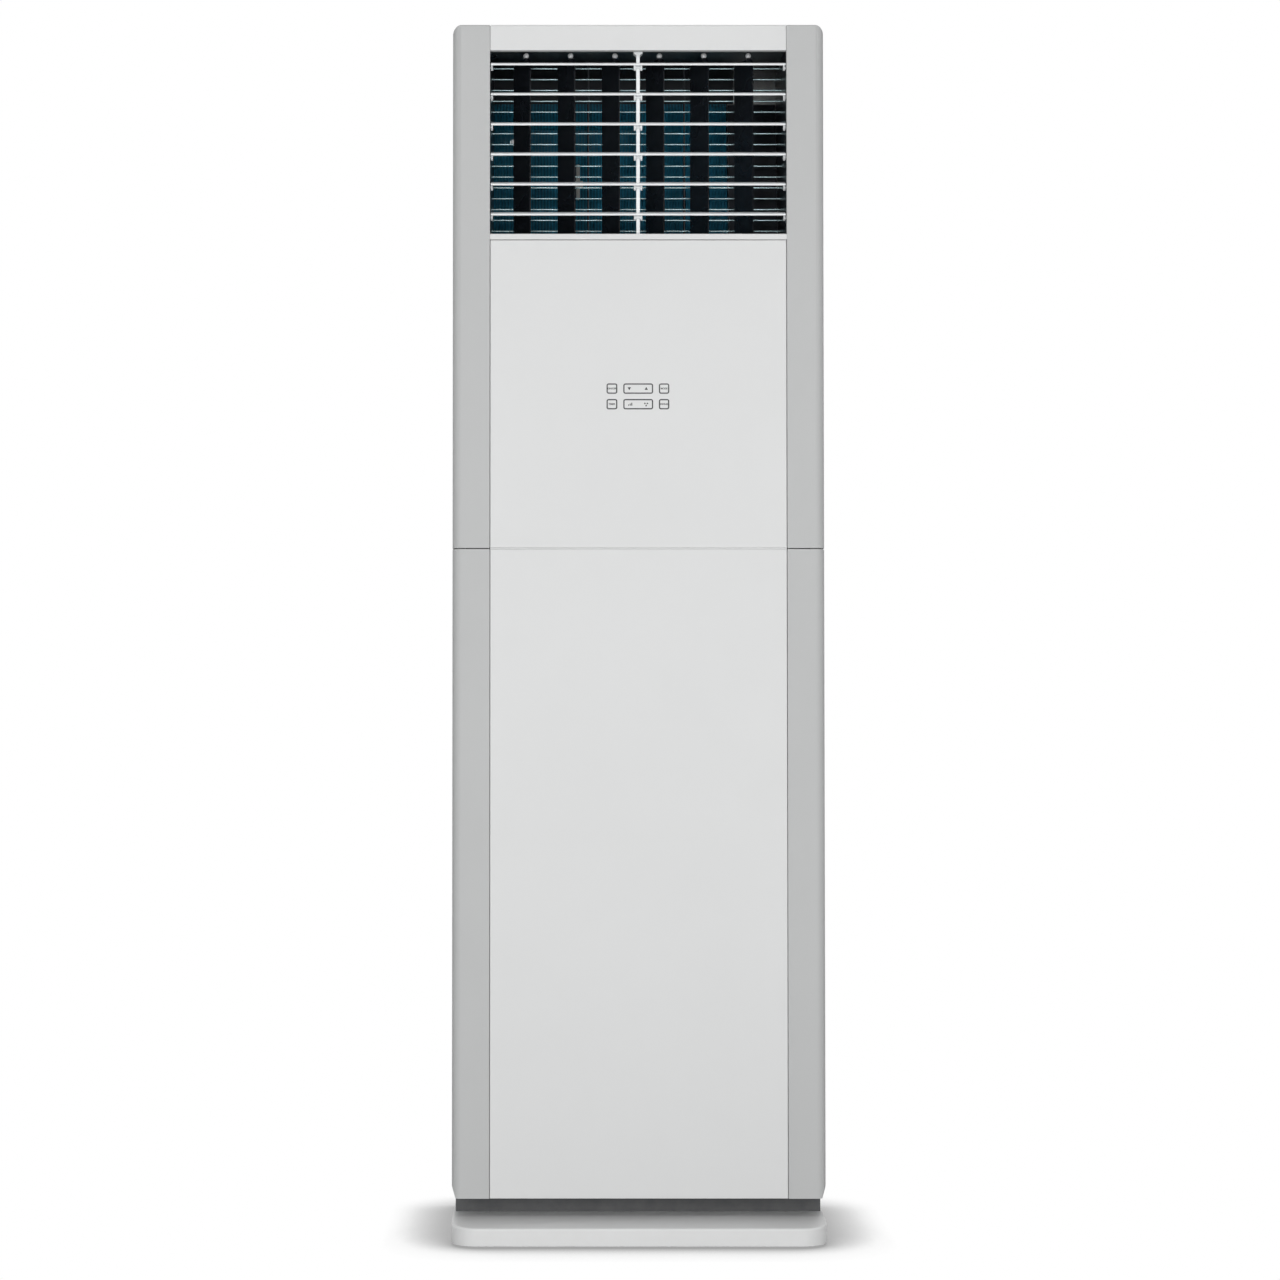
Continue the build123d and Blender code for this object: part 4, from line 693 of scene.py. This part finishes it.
bushes = row("vane_collars", solid("bush", bush_shape), bush_count,
             (bush_low.x + bush_radius, (bush_low.y + bush_high.y) / 2, bush_low.z), (bush_step, 0, 0),
             collar_plastic, smooth=60.0)
put_on(bushes, collar_plastic, "cabinet")
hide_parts("vane_bushes")
dressed("centre_mullion", white_plastic, edge=0.0005, turns=3)


# ---- Louvres and vanes ----
# Six white tilting louvres, tied by a black link at their left cranks, in front of six black
# swinging vanes tied by another just above the duct's floor.  Two small motors in steel cans
# swing them.
for number in range(1, 7):
    dressed(f"louvre_{number}", white_plastic, smooth=35.0)
vane_black = finish("vane_black", (0.014, 0.017, 0.022), 0.27, grain=800.0, bump=0.12, mottle=0.25)
for number in range(1, 7):
    dressed(f"vane_{number}", vane_black, smooth=35.0)
link_black = finish("link_black", (0.03, 0.03, 0.033), 0.45, grain=900.0, bump=0.12)
for link in ("louvre_link", "vane_link"):
    dressed(link, link_black, edge=0.0004)
dressed("swing_motors", ground_steel, edge=0.0006)


# ---- Finger guard ----
# Level wires coated pale blue-white between vanes and coil, spot-welded to two dark uprights.
wire_coating = finish("wire_coating", (0.70, 0.93, 0.97), 0.24, grain=1200.0, bump=0.05, metallic=0.75)
stay_coating = finish("stay_coating", (0.020, 0.024, 0.030), 0.40, grain=1200.0, bump=0.05)
guard_low, guard_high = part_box("wire_guard")
wire_radius, wire_pitch, wire_count, wire_inset = 0.00125, 0.0173, 17, 0.0011
wire_y = guard_low.y + wire_inset
first_wire = (guard_low.z + guard_high.z - (wire_count - 1) * wire_pitch) / 2
wire_shape = bmesh.new()
tube(wire_shape, [Vector((guard_low.x, 0, 0)), Vector((guard_high.x, 0, 0))], wire_radius, sides=10)
guard_wires = row("guard_wires", solid("wire", wire_shape), wire_count, (0, wire_y, first_wire),
                  (0, 0, wire_pitch), wire_coating, smooth=60.0)
put_on(guard_wires, wire_coating, "cabinet")
stay_radius, stay_behind, stay_count = 0.00175, 0.0026, 2
stay_step = (guard_high.x - guard_low.x) / (stay_count + 1)
stay_shape = bmesh.new()
tube(stay_shape, [Vector((0, 0, guard_low.z)), Vector((0, 0, guard_high.z))], stay_radius, sides=10)
guard_stays = row("guard_stays", solid("stay", stay_shape), stay_count,
                  (guard_low.x + stay_step, wire_y + stay_behind, 0), (stay_step, 0, 0), stay_coating,
                  smooth=60.0)
put_on(guard_stays, stay_coating, "cabinet")
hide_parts("wire_guard")


# ---- Front ----
# Two moulded frames make the pillars; between them lie two flat satin panels and the trim with
# the sill and the head.  A 1.4 mm seam parts the upper front from the lower, and a lip just
# behind it closes it between the panels, so that it shows there as a faint line.
frame_plastic = finish("frame_plastic", (0.515, 0.522, 0.522), 0.46, grain=1700.0, bump=0.05, mottle=0.025,
                       shine=0.25)
for moulding in ("upper_front_frame", "lower_front_frame"):
    dressed(moulding, frame_plastic, edge=0.0006, turns=3)
panel_plastic = finish("panel_plastic", (0.715, 0.721, 0.721), 0.40, grain=2200.0, bump=0.03, mottle=0.02,
                       shine=0.30)
for panel in ("upper_front_panel", "lower_front_panel"):
    dressed(panel, panel_plastic, edge=0.0005, turns=4)
dressed("outlet_trim", panel_plastic, edge=0.0007, turns=3)

upper_low, upper_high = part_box("upper_front_panel")
lower_low, lower_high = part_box("lower_front_panel")
lip_inset, lip_thickness = 0.0005, 0.0015
lip_front = max(upper_low.y, lower_low.y) + lip_inset
lip_back = lip_front + lip_thickness
lip_shape = bmesh.new()
prism(lip_shape, [(upper_low.x, lip_front, lower_high.z), (upper_high.x, lip_front, lower_high.z),
                  (upper_high.x, lip_back, lower_high.z), (upper_low.x, lip_back, lower_high.z)],
      (0, 0, 0), (0, 0, upper_low.z - lower_high.z))
seam_lip = solid("seam_lip", lip_shape)
put_on(seam_lip, panel_plastic, "cabinet")


# ---- Touch keys ----
# Printed in dark grey on the upper panel: six rounded outlines, four round plain words and two
# round pairs of pictograms.  Their places are those of the photograph's keys, in its pixels.
key_ink = finish("key_ink", (0.022, 0.023, 0.025), 0.5, grain=900.0, bump=0.02)
print_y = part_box("upper_front_panel")[0].y
ink_thickness, line_width, ink_spread = 0.00008, 0.0019, 0.00014
photo_pixel, axis_pixel, floor_pixel, print_drop = 0.0015324, 638.6, 1249.5, 0.0126


def on_panel(px, py):
    """Place on the front for a place in the picture."""
    return (px - axis_pixel) * photo_pixel, (floor_pixel - py) * photo_pixel - print_drop


def key_outline(shape, x, z, width, height, corner, corner_steps=4):
    """Adds a rounded frame of ink."""
    rings = []
    for reach in (corner, corner - line_width):
        points = []
        for quarter, (sx, sz) in enumerate(((1, 1), (-1, 1), (-1, -1), (1, -1))):
            for step in range(corner_steps + 1):
                angle = (quarter + step / corner_steps) * pi / 2
                points.append((x + sx * (width / 2 - corner) + cos(angle) * reach,
                               z + sz * (height / 2 - corner) + sin(angle) * reach))
        for lift in (ink_thickness, -ink_thickness):
            rings.append([shape.verts.new((px, print_y - lift, pz)) for px, pz in points])
    outer_front, outer_back, inner_front, inner_back = rings
    for first, second in ((outer_front, inner_front), (inner_front, inner_back),
                          (inner_back, outer_back), (outer_back, outer_front)):
        wall(shape, first, second)


def ink_patch(shape, points):
    """Adds a flat patch of ink from its outline's places in x and z."""
    prism(shape, [(x, print_y - ink_thickness, z) for x, z in points], (0, 0, 0), (0, 2 * ink_thickness, 0))


keys = bmesh.new()
key_rows, key_tall, key_corner = (388.4, 404.1), 10.4, 0.0032
for key_row in key_rows:
    for left, right in ((606.6, 617.4), (623.4, 653.3), (659.1, 669.5)):
        key_x, key_z = on_panel((left + right) / 2, key_row)
        key_outline(keys, key_x, key_z, (right - left) * photo_pixel, key_tall * photo_pixel, key_corner)
mark = 0.0026
mark_base = mark * 0.8
down_x, down_z = on_panel(629.4, key_rows[0])
ink_patch(keys, [(down_x - mark, down_z + mark_base), (down_x, down_z - mark),
                 (down_x + mark, down_z + mark_base)])
up_x, up_z = on_panel(646.4, key_rows[0])
ink_patch(keys, [(up_x - mark, up_z - mark_base), (up_x + mark, up_z - mark_base), (up_x, up_z + mark)])
bars_x, bars_z = on_panel(630.4, key_rows[1])
bar_width, bar_pitch, bars_left, bars_below = 0.0014, 0.0024, 0.0032, 0.0023
bar_foot = bars_z - bars_below
for bar, bar_height in enumerate((0.0020, 0.0032, 0.0046)):
    bar_left = bars_x - bars_left + bar * bar_pitch
    bar_right, bar_head = bar_left + bar_width, bar_foot + bar_height
    ink_patch(keys, [(bar_left, bar_foot), (bar_right, bar_foot),
                     (bar_right, bar_head), (bar_left, bar_head)])
fan_x, fan_z = on_panel(646.3, key_rows[1])
petal_outline = ((0.0, 0.0006), (0.9, 0.0024), (0.5, 0.0034), (0.0, 0.0036), (-0.2, 0.0020))
first_petal, petals = 0.2, 3
for petal in range(petals):
    turned = first_petal + petal * 2 * pi / petals
    ink_patch(keys, [(fan_x + cos(turned + angle) * reach, fan_z + sin(turned + angle) * reach)
                     for angle, reach in petal_outline])
key_frames = solid("touch_key_outlines", keys)
put_on(key_frames, key_ink, "cabinet")


def key_word(word, px, py, tall):
    """A plain word in ink, made a mesh on the panel's face."""
    curve = bpy.data.curves.new(word, "FONT")
    curve.body, curve.size, curve.align_x, curve.align_y = word, tall, "CENTER", "CENTER"
    curve.extrude, curve.offset = ink_thickness, ink_spread
    curve.resolution_u = 3
    holder = bpy.data.objects.new(word, curve)
    bpy.context.scene.collection.objects.link(holder)
    bpy.context.view_layer.update()
    mesh = bpy.data.meshes.new_from_object(holder.evaluated_get(bpy.context.evaluated_depsgraph_get()))
    x, z = on_panel(px, py)
    mesh.transform(Matrix.Translation((x, print_y, z)) @ Matrix.Rotation(pi / 2, 4, "X"))
    bpy.data.objects.remove(holder)
    return mesh


words = bmesh.new()
left_words, right_words, letter_height = 612.0, 664.3, 0.0036
for word, px, py in (("ON/OFF", left_words, key_rows[0]), ("MODE", right_words, key_rows[0]),
                     ("TIMER", left_words, key_rows[1]), ("SWING", right_words, key_rows[1])):
    words.from_mesh(key_word(word, px, py, letter_height))
key_words = solid("touch_key_words", words)
put_on(key_words, key_ink, "cabinet")


# ---- Studio ----
# Pale plain floor that keeps the cabinet's contact shadow, surroundings that look white and give
# more light from overhead than from the sides, three soft lamps in front, one of them high up,
# and a camera a little below the cabinet's middle.
def seen_directly(nodes, links):
    """1 for rays from the camera and for those seen in a gloss or through glass, 0 for the rest."""
    ray = nodes.new("ShaderNodeLightPath")
    total = ray.outputs["Is Camera Ray"]
    for kind in ("Is Glossy Ray", "Is Transmission Ray"):
        either = nodes.new("ShaderNodeMath")
        either.operation = "MAXIMUM"
        links.new(total, either.inputs[0])
        links.new(ray.outputs[kind], either.inputs[1])
        total = either.outputs["Value"]
    return total


def paper(name, shadow_reach, shadow_power, shadow_tone, albedo=0.80):
    """Pale floor: white where it is seen, down to the shadow's tone where the plinth stands over it."""
    material = bpy.data.materials.new(name)
    material.use_nodes = True
    nodes, links = material.node_tree.nodes, material.node_tree.links
    shader = nodes["Principled BSDF"]
    shader.inputs["Base Color"].default_value = (albedo, albedo, albedo, 1)
    shader.inputs["Roughness"].default_value = 0.9
    shader.inputs["Specular IOR Level"].default_value = 0.0
    close = nodes.new("ShaderNodeAmbientOcclusion")
    close.inputs["Distance"].default_value = shadow_reach
    close.samples = 16
    darker = nodes.new("ShaderNodeMath")
    darker.operation = "POWER"
    darker.inputs[1].default_value = shadow_power
    links.new(close.outputs["AO"], darker.inputs[0])
    tone = nodes.new("ShaderNodeMapRange")
    tone.inputs["To Min"].default_value = shadow_tone
    links.new(darker.outputs["Value"], tone.inputs["Value"])
    glow = nodes.new("ShaderNodeEmission")
    links.new(tone.outputs["Result"], glow.inputs["Strength"])
    either = nodes.new("ShaderNodeMixShader")
    links.new(seen_directly(nodes, links), either.inputs["Fac"])
    links.new(shader.outputs["BSDF"], either.inputs[1])
    links.new(glow.outputs["Emission"], either.inputs[2])
    links.new(either.outputs["Shader"], nodes["Material Output"].inputs["Surface"])
    return material


bpy.ops.mesh.primitive_plane_add(size=60, location=(0, 0, 0))
floor = bpy.context.object
floor.name = "floor"
floor.data.materials.append(paper("paper_floor", shadow_reach=0.11, shadow_power=3.6, shadow_tone=0.36))

world = bpy.data.worlds.new("studio")
bpy.context.scene.world = world
world.use_nodes = True
sky, sky_links = world.node_tree.nodes, world.node_tree.links
soft = sky["Background"]
soft.inputs["Color"].default_value = (1, 1, 1, 1)
heading = sky.new("ShaderNodeSeparateXYZ")
sky_links.new(sky.new("ShaderNodeTexCoord").outputs["Generated"], heading.inputs["Vector"])
sideways = sky.new("ShaderNodeMath")
sideways.operation = "ABSOLUTE"
sky_links.new(heading.outputs["X"], sideways.inputs[0])
level = sky.new("ShaderNodeMath")
level.operation = "MULTIPLY"
up_ramp, side_ramp = (0.0, 0.7, 0.11, 0.85), (0.15, 0.8, 1.0, 0.08)
for socket, source, (start, end, low, high) in ((0, heading.outputs["Z"], up_ramp),
                                                (1, sideways.outputs["Value"], side_ramp)):
    ramp = sky.new("ShaderNodeMapRange")
    ramp.inputs["From Min"].default_value, ramp.inputs["From Max"].default_value = start, end
    ramp.inputs["To Min"].default_value, ramp.inputs["To Max"].default_value = low, high
    sky_links.new(source, ramp.inputs["Value"])
    sky_links.new(ramp.outputs["Result"], level.inputs[socket])
sky_links.new(level.outputs["Value"], soft.inputs["Strength"])
white = sky.new("ShaderNodeBackground")
white.inputs["Strength"].default_value = 1.0
white.inputs["Color"].default_value = (1, 1, 1, 1)
chosen = sky.new("ShaderNodeMixShader")
sky_links.new(seen_directly(sky, sky_links), chosen.inputs["Fac"])
sky_links.new(soft.outputs["Background"], chosen.inputs[1])
sky_links.new(white.outputs["Background"], chosen.inputs[2])
sky_links.new(chosen.outputs["Shader"], sky["World Output"].inputs["Surface"])


def lamp(name, place, aim, wide, tall, power):
    """An oblong soft lamp at a place, turned to its aim."""
    light = bpy.data.lights.new(name, "AREA")
    light.shape, light.size, light.size_y, light.energy = "RECTANGLE", wide, tall, power
    holder = bpy.data.objects.new(name, light)
    holder.location = place
    holder.rotation_euler = (Vector(aim) - Vector(place)).to_track_quat("-Z", "Y").to_euler()
    bpy.context.scene.collection.objects.link(holder)


lamp("front_left_softbox", (-1.15, -4.4, 0.90), (0, 0, 0.60), wide=1.3, tall=1.7, power=42.0)
lamp("front_right_softbox", (1.30, -4.4, 0.90), (0, 0, 0.60), wide=1.3, tall=1.7, power=36.0)
lamp("overhead_softbox", (0.0, -3.3, 3.5), (0, 0, 0.35), wide=2.2, tall=1.1, power=31.0)

eye = Vector((-0.10, -4.6225, 0.80))
middle_height, lens_view, frame_width, middle_x = 0.9205, 4.47, 1.9615, 0.0021
lens = bpy.data.cameras.new("camera")
lens.sensor_width = 36.0
lens.lens = lens.sensor_width / 2 / (frame_width / 2 / lens_view)
lens.shift_x = (middle_x - eye.x) / frame_width
lens.clip_end = 100.0
camera = bpy.data.objects.new("camera", lens)
camera.location = eye
camera.rotation_euler = (pi / 2 + atan2(middle_height - eye.z, lens_view), 0, 0)
bpy.context.scene.collection.objects.link(camera)
bpy.context.scene.camera = camera
bpy.context.scene.view_settings.view_transform = "Standard"
